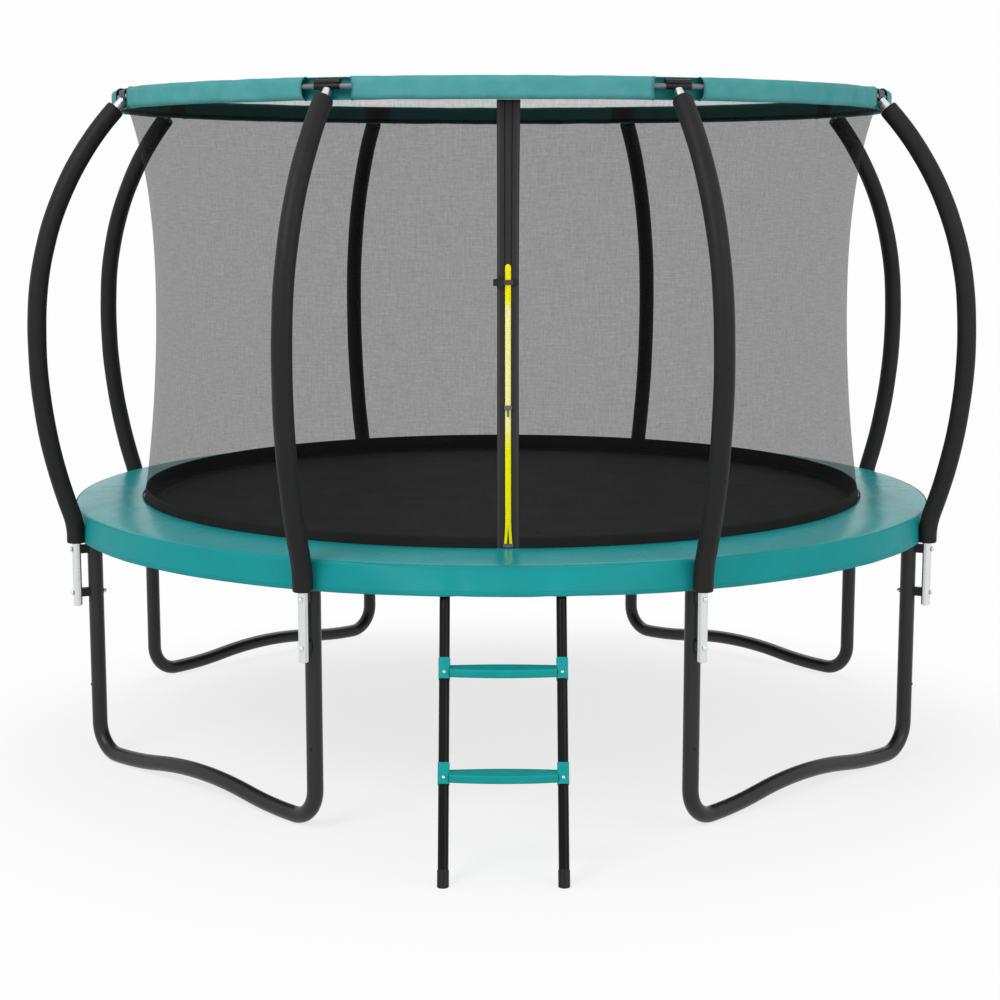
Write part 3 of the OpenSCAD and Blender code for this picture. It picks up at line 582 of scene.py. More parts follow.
class TrampolineColours(bpy.types.PropertyGroup):
    teal_cover: colour_setting("Pad Cover", "PVC cover of the safety pad", "#129799")
    teal_skirt: colour_setting("Skirt", "PVC skirt of the safety pad", "#129799")
    teal_sleeve: colour_setting("Ring Sleeve", "Fabric of the top ring's sleeve", "#52a1a2")
    teal_step: colour_setting("Steps", "Plastic of the ladder steps", "#029d9b")
    net_thread: colour_setting("Net Thread", "Threads of the safety net", "#101010")
    net_cover: bpy.props.FloatProperty(
        name="Net Cover", description="Share of the net that its threads cover", default=0.463, subtype="FACTOR"
    )
    zip_yellow: colour_setting("Zip", "Zip of the door", "#fff500")


def dress(piece, material, body, slot, *nodes):
    """Gives a new piece its material and its body, and hides the CAD nodes that it stands for. The slot is not
    used.
    """
    piece.data.materials.clear()
    piece.data.materials.append(material)
    if body:
        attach(piece, body)
    if nodes:
        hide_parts(*nodes)
    return piece


# ---------------------------------------------------------------- steelwork


class PaintFrame(bpy.types.Operator):
    """Finishes the steel and plastic parts that keep the frame's own shapes"""

    bl_idname = "trampoline.paint_frame"
    bl_label = "Frame and Poles"

    def execute(self, context):
        black = powder_coat("Black powder coat on steel", linear("#252526"), 0.34, 0.32)
        ladder = powder_coat("Black powder coat on ladder tube", linear("#0f0f10"), 0.22, 0.11)
        zinc = bright_zinc("Bright zinc plate", linear("#dfe3e4"))
        galvanised = galvanised_steel("Hot-dip galvanised steel", linear("#8f9294"))
        plastic = moulded("Black moulded polypropylene", linear("#131313"), 0.42, specular=0.25)
        rod = moulded("Grey pultruded glass-fibre rod", linear("#727274"), 0.35, 0.8)
        steps = moulded(
            "Teal moulded polypropylene", context.scene.trampoline_colours.teal_step, 0.38, specular=0.22
        )
        finishes = {
            "leg_base": black, "leg_upright": black, "leg_buttons": plastic, "frame_rail": galvanised,
            "pole_caps": plastic, "pole_spacers": plastic, "pole": zinc, "ring_rods": rod,
            "ladder_rail": ladder, "ladder_step": steps, "ladder_feet": plastic,
        }
        for name, node in FRAME["nodes"].items():
            found = [key for key in finishes if name.startswith(key)]
            if found:
                node.data.materials.clear()
                node.data.materials.append(finishes[max(found, key=len)])
        return {"FINISHED"}


def cylinder(vertices, radius, depth, location=(0, 0, 0)):
    bpy.ops.mesh.primitive_cylinder_add(vertices=vertices, radius=radius, depth=depth, location=location)
    return bpy.context.object


def domed_head(segments, radius, height_share):
    """The upper half of a ball, pressed down to a share of its height."""
    bpy.ops.mesh.primitive_uv_sphere_add(
        segments=segments, ring_count=segments // 2, radius=radius, location=(0, 0, 0)
    )
    head = bpy.context.object
    edit_mesh(head)
    bpy.ops.mesh.select_all(action="SELECT")
    bpy.ops.mesh.bisect(plane_co=(0, 0, 0.0001), plane_no=(0, 0, 1), use_fill=True, clear_inner=True)
    bpy.ops.mesh.select_all(action="SELECT")
    bpy.ops.transform.resize(value=(1, 1, height_share))
    leave_edit()
    return head


def bolt_parts():
    """Domed bolt head with a washer, and the nut and washer at its other end, at angle 90 and height 0."""
    outer_end, inner_end, washer_thick, nut_high = POLE_R + 0.015, FRAME_R - 0.0255, 0.0012, 0.0062
    side = Matrix.Rotation(math.radians(90), 4, "Y")
    parts = []

    def put(part, x):
        part.data.transform(Matrix.Translation((x, AXIS_Y, 0)) @ side)
        parts.append(part)

    for x, way, radius in ((outer_end, 1, 0.0095), (inner_end, -1, 0.0085)):
        washer = cylinder(40, radius, washer_thick)
        pick(edit_mesh(washer), faces=lambda c, n: abs(n.z) > 0.9)
        bpy.ops.mesh.inset(thickness=radius * 0.45)
        leave_edit()
        modify(washer, "BEVEL", width=0.0003, segments=2, limit_method="ANGLE")
        put(apply_modifiers(washer), x + way * washer_thick / 2)
    put(domed_head(40, 0.0085, 0.58), outer_end + washer_thick)
    nut = cylinder(6, 0.0072, nut_high)
    pick(edit_mesh(nut), edges=lambda c, d: abs(d.z) < 0.1)
    bpy.ops.mesh.bevel(offset=0.0008, segments=2)
    pick(bmesh.from_edit_mesh(nut.data), faces=lambda c, n: n.z < -0.95 and c.length < 0.0045)
    bpy.ops.mesh.inset(thickness=0.002)
    bpy.ops.mesh.extrude_region_move(TRANSFORM_OT_translate={"value": (0, 0, 0.001)})
    leave_edit()
    put(nut, inner_end - washer_thick - nut_high / 2)
    shank = cylinder(24, 0.0039, 0.009)
    pick(edit_mesh(shank), edges=lambda c, d: abs(d.z) < 0.1 and c.z < 0)
    bpy.ops.mesh.bevel(offset=0.0008, segments=2)
    leave_edit()
    put(shank, inner_end - 0.0055)
    return smooth(joined(parts, "pole_bolt"))


class AddBolts(bpy.types.Operator):
    """Adds the domed bolts that hold each pole to its upright, and the plugs in the poles' feet"""

    bl_idname = "trampoline.bolts"
    bl_label = "Bolts"

    def execute(self, context):
        zinc = bpy.data.materials["Bright zinc plate"]
        first = bolt_parts()
        for k in POLES:
            for end, z in BOLT_HEIGHTS:
                piece = copied(
                    first, f"pole_bolt_{k}_{end}", turned(pole_angle(k)) @ Matrix.Translation((0, 0, z))
                )
                dress(piece, zinc, "frame", "zinc", "pole_bolts")
        bpy.data.objects.remove(first)
        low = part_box("pole_3")[0].z
        plug = cylinder(48, 0.0146, 0.012, (POLE_R, AXIS_Y, low + 0.006))
        pick(edit_mesh(plug), faces=lambda c, n: n.z < -0.9)
        bpy.ops.mesh.extrude_region_move(TRANSFORM_OT_translate={"value": (0, 0, -0.003)})
        bpy.ops.transform.resize(value=(0.8, 0.8, 1))
        bpy.ops.mesh.inset(thickness=0.004)
        bpy.ops.transform.translate(value=(0, 0, -0.0008))
        leave_edit()
        modify(plug, "BEVEL", width=0.0012, segments=3, limit_method="ANGLE")
        apply_modifiers(place(plug))
        smooth(plug)
        for k in POLES:
            piece = copied(plug, f"pole_plug_{k}", turned(pole_angle(k)))
            dress(piece, zinc, "frame", "zinc")
        bpy.data.objects.remove(plug)
        return {"FINISHED"}


# ---------------------------------------------------------------- poles' foam


class AddFoam(bpy.types.Operator):
    """Adds the foam sleeves that pad the poles"""

    bl_idname = "trampoline.foam"
    bl_label = "Foam Sleeves"

    def execute(self, context):
        skin = foam_skin("Matt PVC skin on foam tube", linear("#1f1f20"))
        outer = context.scene.trampoline_sizes.foam_diameter / 2
        inner, sides = 0.0153, 36
        line = pole_line(0.7535, 42.7, 0.018)
        for k in POLES:
            rings = []

            def ring(r, z, lean, radius, wobble=0.0):
                a, lean = pole_angle(k), math.radians(lean)
                points = []
                for j in range(sides):
                    t = 2 * math.pi * j / sides
                    out, level = math.cos(t), math.sin(t)
                    seam = 0.0007 * math.exp(-((t - math.pi) / 0.07) ** 2)
                    soft = wobble * noise.noise(Vector((out * 1.4, level * 1.4, z * 9 + 10 * k)))
                    grow = radius - seam + soft
                    centre = spot(a, r + grow * out * math.cos(lean), z - grow * out * math.sin(lean))
                    points.append(centre + (spot(a + 90, 1, 0) - spot(a + 90, 0, 0)) * grow * level)
                return points

            ends = []
            for share, back in (
                (0.0, 0.006), (0.35, 0.0012), (0.7, 0.0), (0.86, 0.0006), (0.96, 0.0030), (1.0, 0.0075)
            ):
                ends.append((inner + (outer - inner) * share, back))
            first, last = line[0], line[-1]

            def along(at, back, way):
                lean = math.radians(at[2])
                return at[0] + way * math.sin(lean) * back, at[1] + way * math.cos(lean) * back, at[2]

            for radius, back in ends:
                rings.append(ring(*along(first, back, 1), radius))
            for point in line:
                if point[1] > first[1] + 0.012 and math.dist(point[:2], last[:2]) > 0.012:
                    rings.append(ring(*point, outer, 0.0009))
            for radius, back in reversed(ends):
                rings.append(ring(*along(last, back, -1), radius))
            rings += [ring(*point, inner) for point in reversed(line[2:-2])]  # the bore, back down to the foot
            across = running_length([ring[0] for ring in rings], closed=True)
            around = [2 * math.pi * outer * j / sides for j in range(sides + 1)]
            piece = cloth_grid(
                f"foam_{k}", rings, across, around, close_across=True, close_along=True, outward=True
            )
            dress(piece, skin, "frame", "foam_cover", f"foam_sleeve_{k}")
        return {"FINISHED"}


# ---------------------------------------------------------------- net and its door


def net_material(colour, cover):
    """Fine knitted polyester net: dark threads that hide less than half of what is behind them, with an
    uneven run of thicker threads both ways."""
    made, tree, shader = new_material(
        "Knitted polyester netting",
        {
            "IOR": 1.45, "Roughness": 0.85, "Specular IOR Level": 0.03, "Sheen Weight": 0.14,
            "Sheen Roughness": 0.2
        }
    )
    cut = cut_place(tree)
    total = None
    # The mesh of about 1 mm is too fine to show, so its thicker threads are drawn as streaks 50 to 100 mm long
    for scale in ((10, 240, 1), (240, 10, 1), (90, 90, 1)):
        run = add_node(tree, "ShaderNodeMapping", {"Vector": cut, "Scale": scale})
        streak = add_node(
            tree, "ShaderNodeTexNoise", {"Vector": run.outputs["Vector"], "Scale": 1.0, "Detail": 2.0}
        )
        total = streak.outputs["Fac"] if total is None else math_node(tree, "ADD", total, streak.outputs["Fac"])
    feed(shader, "Alpha", spread(tree, total, 1.1, 1.9, cover - 0.065, cover + 0.065))
    tone = colours(
        tree, math_node(tree, "SUBTRACT", total, 1.0, clamp=True),
        [(0.0, shade(colour, 0.8)), (1.0, shade(colour, 1.2))]
    )
    feed(shader, "Base Color", tone)
    return made


class AddNet(bpy.types.Operator):
    """Adds the safety net with its black hem and the elastic edge that joins it to the mat"""

    bl_idname = "trampoline.net"
    bl_label = "Safety Net"

    def execute(self, context):
        sizes, paint = context.scene.trampoline_sizes, context.scene.trampoline_colours
        netting = net_material(paint.net_thread, paint.net_cover)
        columns = 288
        heights = list(np.linspace(NET_LOW[1], NET_WAIST[1], 15)) + list(
            np.linspace(NET_WAIST[1], NET_TOP[1], 19)[1:]
        ) + [2.208, 2.214, NET_SEAM[1]]
        line = [(net_radius(z), z) for z in heights]
        rows = [[spot(360 * i / columns, r, z) for r, z in line] for i in range(columns)]
        across = [2 * math.pi * 1.31 * i / columns for i in range(columns + 1)]
        along = running_length([(r, z, 0) for r, z in line])
        net = cloth_grid("safety_net", rows, across, along, close_across=True, flip=True)
        dress(net, netting, "frame", "net_cloth", "net")

        hem_cloth = woven(
            "Black polyester hem tape", linear("#2c2c2c"), linear("#282828"), 1.6, 0.8, hems=(0.006, 0.039),
            dark_thread=linear("#1a1a1a"), specular=0.06
        )
        top = NET_LOW[1] + sizes.hem_width
        rows = []
        profile = [(net_radius(z) - 0.0012, z) for z in np.linspace(top, NET_LOW[1] + 0.002, 7)]
        profile += [(net_radius(NET_LOW[1]), NET_LOW[1] - 0.0005)]
        profile += [(net_radius(z) + 0.0012, z) for z in np.linspace(NET_LOW[1] + 0.002, top, 7)]
        for i in range(columns):
            rows.append([spot(360 * i / columns, r, z) for r, z in profile])
        along = running_length([(r, z, 0) for r, z in profile], closed=True)
        hem = cloth_grid("net_hem", rows, across, along, close_across=True, close_along=True, outward=True)
        dress(hem, hem_cloth, "frame", "net_cloth")

        edge_cloth = woven(
            "Black elastic net edge", linear("#1f1f1f"), linear("#181818"), 2.2, 0.8, specular=0.06
        )
        rows = []
        for i in range(columns):
            pucker = 0.0008 * math.sin(i * 2 * math.pi / 3)
            rows.append([
                spot(360 * i / columns, 1.2902, 0.8475),
                spot(360 * i / columns, 1.2868 + pucker, 0.8425),
                spot(360 * i / columns, 1.2820, 0.8376 + pucker),
                spot(360 * i / columns, 1.2770, 0.8353),
                spot(360 * i / columns, 1.2715, 0.8346),
            ])
        along = [0, 0.006, 0.012, 0.0175, 0.023]
        for number in range(8):  # eight pieces round the ring, each running between net and mat
            cut = [rows[(36 * number - 18 + i) % columns] for i in range(37)]
            piece = cloth_grid(f"net_edge_{number + 1}", cut, across[:37], along)
            dress(piece, edge_cloth, None, "net_cloth")
            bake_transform(piece)
        return {"FINISHED"}


def door_grid(name, x0, x1, z0, z1, lift, columns, rows):
    """A strip of cloth on the net at the door, lifted off it, from x0 to x1 across and z0 to z1 up."""
    points = []
    turn = 180 / math.pi / net_radius((z0 + z1) / 2)
    xs, zs = np.linspace(x0, x1, columns), np.linspace(z0, z1, rows)
    for x in xs:
        points.append([spot(DOOR_ANGLE + x * turn, net_radius(z) + lift, z) for z in zs])
    return cloth_grid(name, points, list(xs), list(zs))


def door_block(x0, x1, z0, z1, lift, thick):
    """A cube shaped to sit on the net at the door; its corners follow the door's place."""
    bpy.ops.mesh.primitive_cube_add(size=1, location=(0, 0, 0))
    block = bpy.context.object
    mid_x, mid_z = (x0 + x1) / 2, (z0 + z1) / 2
    block.data.transform(Matrix.Diagonal((x1 - x0, thick, z1 - z0, 1)))
    r = net_radius(mid_z) + lift + thick / 2
    tilt = math.atan2(net_radius(mid_z + 0.01) - net_radius(mid_z - 0.01), 0.02)
    a = DOOR_ANGLE + math.degrees(mid_x / net_radius(mid_z))
    place_matrix = Matrix.Translation(spot(a, r, mid_z)) @ Matrix.Rotation(math.radians(a), 4, "Z")
    block["matrix"] = [v for row in place_matrix @ Matrix.Rotation(tilt, 4, "X") for v in row]
    return block


def to_door(block):
    """Moves a block made by door_block to its place on the door."""
    values = list(block["matrix"])
    del block["matrix"]
    block.data.transform(Matrix([values[i : i + 4] for i in (0, 4, 8, 12)]))
    return block


def upright_corners(c, d):
    """Picks the block's four corner edges as seen from the front."""
    return abs(d.y) > 0.9


def front_face(c, n):
    return n.y < -0.9


def door_part(x0, x1, z0, z1, lift, thick, corner, segments, steps=(), rounding=None, edges=upright_corners):
    """A moulded part on the door: its corners are rounded, each step insets the faces that a test names
    and pushes them in or out, and the rounding breaks what edges are left."""
    block = door_block(x0, x1, z0, z1, lift, thick)
    pick(edit_mesh(block), edges=edges)
    bpy.ops.mesh.bevel(offset=corner, segments=segments)
    for faces, inset, push in steps:
        pick(bmesh.from_edit_mesh(block.data), faces=faces)
        bpy.ops.mesh.inset(thickness=inset)
        bpy.ops.mesh.extrude_region_move(TRANSFORM_OT_translate={"value": push})
    leave_edit()
    if rounding:
        modify(block, "BEVEL", width=rounding, segments=2, limit_method="ANGLE")
        apply_modifiers(block)
    return smooth(to_door(block))


class AddDoor(bpy.types.Operator):
    """Adds the door strip with its zip, slider, stop and clip"""

    bl_idname = "trampoline.door"
    bl_label = "Door"

    def execute(self, context):
        yellow = context.scene.trampoline_colours.zip_yellow
        low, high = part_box("door_strip")[0].z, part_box("door_strip")[1].z
        hems = [(side * 0.0275, 0.0022, linear("#414141")) for side in (-1, 1)]
        # painted shade: thin dark lines along both edges of the zip, where the webbing creases
        painted_crease_shade = [(side * 0.0106, 0.0014, linear("#1c1c18")) for side in (-1, 1)]
        cloth = woven(
            "Black polyester webbing", linear("#3d3d3d"), linear("#393939"), 2.4, 0.75, mottle_mm=250,
            bands=hems + painted_crease_shade
        )
        strip = door_grid("door_tape", -STRIP_HALF, STRIP_HALF, low, high, 0.0016, 13, 90)
        modify(strip, "SOLIDIFY", thickness=CLOTH, offset=-1)
        apply_modifiers(strip)
        dress(strip, cloth, "frame", "strip_fabric", "door_strip")

        # Zip: woven tape, moulded yellow coil with a painted pale highlight down its middle, and a split at its
        # foot
        tape, tree, shader = new_material(
            "Yellow nylon zip tape and coil", {"IOR": 1.5, "Roughness": 0.45, "Specular IOR Level": 0.1}
        )
        place = object_place(tree)
        parts = axes(tree, place)
        cut = axes(tree, cut_place(tree))
        teeth = math_node(
            tree, "ABSOLUTE",
            math_node(tree, "SINE", math_node(tree, "MULTIPLY", parts["Z"], math.pi * 1000 / 7))
        )
        # painted highlight: the coil's middle is painted pale, fading out below about 1.2 m and above about 1.6
        # m
        above = spread(tree, parts["Z"], 1.16, 1.24)
        below = spread(tree, parts["Z"], 1.61, 1.58)
        painted_highlight_mask = math_node(
            tree, "MULTIPLY", band(tree, cut["X"], 0.0, 0.0052, 0.003),
            math_node(tree, "MULTIPLY", above, below)
        )
        painted_pale_highlight = mixed(tree, painted_highlight_mask, yellow, linear("#fff9c6"))
        feed(
            shader, "Base Color",
            mixed(tree, math_node(tree, "MULTIPLY_ADD", teeth, 0.3, 0.7), shade(yellow, 0.94), painted_pale_highlight)
        )
        bumped(tree, shader, teeth, 0.5)
        low, high = 0.8715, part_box("zip_tape")[1].z
        halves = []
        for side in (-1, 1):
            points, xs = [], []
            zs = [
                low, 0.885, 0.90, 0.915, 0.934, 0.95, *np.arange(0.97, high - 0.016, 0.012), high - 0.013,
                high - 0.008, high - 0.004, high
            ]
            section = [
                (0.0, 0.0012), (0.0, 0.0026), (0.0018, 0.0034), (0.0036, 0.0030), (0.0045, 0.0016),
                (0.0083, 0.0014), (0.0088, 0.0008)
            ]
            for z in zs:
                part = max(0.0, min(1.0, (0.932 - z) / 0.060)) ** 1.3 * 0.0036
                edge = max(0.0, z - (high - 0.0105))
                narrow = math.sqrt(max(0.0, 1 - (edge / 0.0106) ** 2))
                row = []
                for x, up in section:
                    x = side * (part + x * (narrow if z > high - 0.0105 else 1.0))
                    turn = 180 / math.pi / net_radius(z)
                    row.append(spot(DOOR_ANGLE + x * turn, net_radius(z) + 0.0024 + up * 0.7, z))
                points.append(row)
                xs.append(z)
            half = cloth_grid(f"zip_half_{side}", points, xs, [side * x for x, up in section], flip=side > 0)
            uv = half.data.uv_layers["Cut"].data
            for corner in uv:  # across the zip first
                corner.uv = (corner.uv[1], corner.uv[0])
            halves.append(half)
        chain = joined(halves, "zip_chain")
        dress(chain, tape, "frame", "zip_yellow", "zip_tape")

        metal = moulded("Grey enamelled zinc casting", linear("#616b68"), 0.35, 0.9)
        dark = moulded("Black moulded acetal", linear("#121213"), 0.36, 0.9, specular=0.35)
        grey = moulded("Grey moulded nylon", linear("#5c6060"), 0.4, 0.9)
        tongue_grey = moulded("Dark grey moulded nylon", linear("#454143"), 0.4, 0.9, specular=0.35)

        # Slider: arched body, crown on top and pull tab
        body = door_part(
            -0.012, 0.012, 1.277, 1.291, 0.0053, 0.0038, 0.0042, 4, [(front_face, 0.0016, (0, -0.0009, 0))],
            0.0006
        )
        crown = door_part(
            -0.003, 0.003, 1.276, 1.290, 0.0086, 0.003, 0.0016, 3, (), 0.0005, lambda c,
            d: abs(d.x) > 0.9 and c.y < 0
        )
        tab = door_part(
            -0.0036, 0.0036, 1.2565, 1.2785, 0.0078, 0.0018, 0.0016, 3, [(front_face, 0.0012, (0, 0.0004, 0))],
            0.0004
        )
        dress(joined([body, crown, tab], "zip_runner"), metal, "zip_slider", "grey_plastic", "zip_slider")

        # Lower stop: a moulded bar with two lugs
        lugs = [
            door_part(
                -0.0145, 0.0145, 0.8603, 0.8707, 0.0026, 0.0042, 0.003, 3,
                [(front_face, 0.0022, (0, 0.0008, 0))], 0.0006
            )
        ]
        for x in (-0.0125, 0.0125):
            lugs.append(
                door_part(x - 0.0026, x + 0.0026, 0.8606, 0.8704, 0.0058, 0.0026, 0.0018, 3, (), 0.0005)
            )
        dress(joined(lugs, "zip_foot"), grey, "frame", "grey_plastic", "zip_stop")

        # Clip: two-armed buckle with its mouth, and a strap keeper on the other side of the zip
        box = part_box("door_clip")
        clip_z = (box[0].z + box[1].z) / 2
        left = -(STRIP_HALF + 0.002)
        recess = (front_face, 0.0024, (0, 0.0012, 0))
        mouth = (lambda c, n: n.x > 0.9 and c.x > left + 0.02, 0.0018, (-0.0125, 0, 0))
        clip = door_part(
            left + 0.0004, left + 0.0206, clip_z - 0.0142, clip_z + 0.0142, 0.0026, 0.0088, 0.0036, 4,
            [recess, mouth], 0.0007
        )
        keeper = door_part(
            0.0118, 0.0308, clip_z - 0.0094, clip_z + 0.0094, 0.0026, 0.0012, 0.0024, 3,
            [(front_face, 0.0016, (0, -0.0005, 0))]
        )
        dress(joined([clip, keeper], "door_buckle"), dark, "frame", "black_plastic", "door_clip")

        root = left + 0.021
        panel = (front_face, 0.0020, (0, 0.0007, 0))
        tongue = door_part(
            root - 0.0118, 0.0150, clip_z - 0.0073, clip_z + 0.0073, 0.0053, 0.0028, 0.0022, 3, [panel], 0.0005
        )
        dress(tongue, tongue_grey, "clip_tongue", "grey_plastic", "clip_tongue")
        return {"FINISHED"}


# ---------------------------------------------------------------- top ring's sleeve


class AddRingSleeve(bpy.types.Operator):
    """Adds the fabric sleeve round the top ring, cut away at each pole cap"""

    bl_idname = "trampoline.ring_sleeve"
    bl_label = "Ring Sleeve"

    def execute(self, context):
        teal = context.scene.trampoline_colours.teal_sleeve
        notch = context.scene.trampoline_sizes.notch_radius
        half, radius = 0.0175, 0.017
        meet = SLEEVE_MID[0] - 0.0085
        # The section starts where the notch's flat edge meets the roof of the sleeve and runs outwards
        section = []
        start = math.acos(-0.5)
        for a in np.linspace(start, 0, 9):
            section.append((radius * math.cos(a), half + radius * math.sin(a)))
        for z in np.linspace(half, -half, 7)[1:-1]:
            section.append((radius, z))
        for a in np.linspace(0, -start, 9):
            section.append((radius * math.cos(a), -half + radius * math.sin(a)))
        outer = len(section)
        for a in np.linspace(-start, -math.pi, 6)[1:]:
            section.append((radius * math.cos(a), -half + radius * math.sin(a)))
        for z in np.linspace(-half, half, 7)[1:-1]:
            section.append((-radius, z))
        for a in np.linspace(math.pi, start, 6)[:-1]:
            section.append((radius * math.cos(a), half + radius * math.sin(a)))
        lengths = running_length([(x, z, 0) for x, z in section], closed=True)

        def opening(z):
            return math.sqrt(notch * notch - z * z)

        edge = opening(half + radius * math.sin(start))
        gap, span = 12, 72
        base = []
        for k in range(8):
            w = math.degrees(edge / meet)
            base += [("gap", k, t) for t in np.linspace(-w, w, gap + 1)[:-1]]
            base += [("span", k, t) for t in np.linspace(0, 1, span + 1)[:-1]]

        def column(kind, k, t, z, cut):
            w = math.degrees((opening(z) if cut else edge) / meet)
            if kind == "gap":
                return pole_angle(k + 1) + t
            return pole_angle(k + 1) + w + t * (45 - 2 * w)

        points, index, count = [], {}, len(section)
        for i, (kind, k, t) in enumerate(base):
            for j, (x, z) in enumerate(section):
                inside = 0 < j < outer - 1
                if kind == "gap" and inside:
                    continue
                angle = column(kind, k, t, z, j < outer)
                turn = math.radians(angle)
                # Soft puckers: shallow folds that run round the ring, and a slight lift of the cloth between
                # them
                soft = noise.noise(Vector((math.cos(turn) * 9, math.sin(turn) * 9, z * 26)))
                fine = noise.noise(Vector((math.cos(turn) * 34, math.sin(turn) * 34, z * 60 + 5)))
                lift = 0.0016 * soft + 0.0007 * fine
                hang = 0.0012 * noise.noise(Vector((math.cos(turn) * 12, math.sin(turn) * 12, 3.0)))
                size = math.hypot(x, z)
                point = spot(
                    angle, SLEEVE_MID[0] + x + lift * x / size, SLEEVE_MID[1] + z + lift * z / size + hang
                )
                index[i, j] = len(points)
                points.append(point)
        # The far end of each span closes on the next gap's first column
        ends = {}
        for k in range(8):
            i = (k * (gap + span) + gap + span) % len(base)
            for j in range(1, outer - 1):
                x, z = section[j]
                angle = column("span", k, 1.0, z, True)
                ends[k, j] = len(points)
                points.append(spot(angle, SLEEVE_MID[0] + x, SLEEVE_MID[1] + z))
            for j in (0, *range(outer - 1, count)):
                ends[k, j] = index[i, j]
        faces, corners = [], []
        for i, (kind, k, t) in enumerate(base):
            last = (i + 1) % (gap + span) == 0
            for j in range(count):
                j2 = (j + 1) % count
                if kind == "gap" and j < outer - 1:
                    continue
                nxt = (lambda jj: ends[k, jj]) if last else (lambda jj: index[(i + 1) % len(base), jj])
                quad = [index[i, j], nxt(j), nxt(j2), index[i, j2]]
                faces.append(quad)
                u0, u1 = i * SLEEVE_STEP, (i + 1) * SLEEVE_STEP
                corners += [(u0, lengths[j]), (u1, lengths[j]), (u1, lengths[j + 1]), (u0, lengths[j + 1])]
        # Teal outside; the net side is coloured dark green-teal as painted shade, painted black behind each
        # pole cap
        made, tree, shader = new_material(
            "Coated polyester sleeve cloth", {"IOR": 1.45, "Specular IOR Level": 0.15}
        )
        place, cut = object_place(tree), cut_place(tree)
        height = weave(tree, cut, 2.6)
        drift = speckle(tree, place, 70, 0.0, 1.0, 2.0)
        tone = colours(tree, drift, [(0.0, linear("#409597")), (0.5, teal), (1.0, linear("#62abad"))])
        tone = mixed(tree, height, shade(teal, 0.93), tone)
        run = axes(tree, cut)
        seam = stitches(tree, run["X"], run["Y"], (lengths[outer + 1] + 0.002, lengths[-2] - 0.002), 10, 1.6)
        tone = mixed(tree, math_node(tree, "MULTIPLY", seam, 0.5), tone, shade(teal, 0.35))
        side_mid, side_half = (lengths[outer] + lengths[-1]) / 2, (lengths[-1] - lengths[outer]) / 2
        inner = band(tree, run["Y"], side_mid, side_half - 0.002, 0.004)
        step = (gap + span) * SLEEVE_STEP
        from_pole = math_node(
            tree, "SUBTRACT",
            math_node(
                tree, "FRACT",
                math_node(
                    tree, "ADD", math_node(tree, "DIVIDE", run["X"], step), 0.5 - gap * SLEEVE_STEP / 2 / step
                )
            ),
            0.5
        )
        # painted shadow: black behind each pole cap, on the side facing the net
        painted_cap_shadow = band(tree, math_node(tree, "MULTIPLY", from_pole, step), 0.0, 0.045, 0.010)
        # painted shade: dark green-teal on the side facing the net
        painted_net_side_shade = mixed(
            tree, painted_cap_shadow, mixed(tree, height, linear("#0d312d"), linear("#123b37")), linear("#131313")
        )
        feed(shader, "Base Color", mixed(tree, inner, tone, painted_net_side_shade))
        feed(shader, "Roughness", speckle(tree, place, 30, 0.62, 0.78))
        puckers = math_node(
            tree, "ADD", speckle(tree, place, 22, 0.0, 6.0, 1.0), speckle(tree, place, 60, 0.0, 22.0, 1.0)
        )
        bumped(tree, shader, math_node(tree, "ADD", math_node(tree, "MULTIPLY", height, 0.3), puckers), 0.1)
        lining = woven("Teal sleeve lining", linear("#2b9092"), linear("#278789"), 2.6, 0.7)
        piece = soft_mesh("ring_cover", points, faces, corners, outward=True)
        dress(piece, made, "frame", "sleeve_fabric", "ring_sleeve")
        piece.data.materials.append(lining)
        modify(piece, "SOLIDIFY", thickness=CLOTH, offset=-1, material_offset=1)
        apply_modifiers(piece)

        # Binding tape sewn along the edge of each notch
        tape = woven("Teal binding tape", shade(teal, 0.82), shade(teal, 0.7), 1.6, 0.7)
        for k in POLES:
            line = []
            rows = [section[j] for j in range(outer)]
            for x, z in rows:
                line.append(
                    spot(pole_angle(k) + math.degrees(opening(z) / meet), SLEEVE_MID[0] + x, SLEEVE_MID[1] + z)
                )
            for t in np.linspace(1, -1, 13)[1:-1]:
                line.append(
                    spot(
                        pole_angle(k) + t * math.degrees(edge / meet), SLEEVE_MID[0] + rows[-1][0],
                        SLEEVE_MID[1] + rows[-1][1]
                    )
                )
            for x, z in reversed(rows):
                line.append(
                    spot(pole_angle(k) - math.degrees(opening(z) / meet), SLEEVE_MID[0] + x, SLEEVE_MID[1] + z)
                )
            for t in np.linspace(-1, 1, 13)[1:-1]:
                line.append(
                    spot(
                        pole_angle(k) + t * math.degrees(edge / meet), SLEEVE_MID[0] + rows[0][0],
                        SLEEVE_MID[1] + rows[0][1]
                    )
                )
            binding = swept_round(f"notch_binding_{k}", line, 0.0019, 8, closed=True)
            dress(binding, tape, "frame", "sleeve_fabric")
        return {"FINISHED"}


# ---------------------------------------------------------------- mat and springs


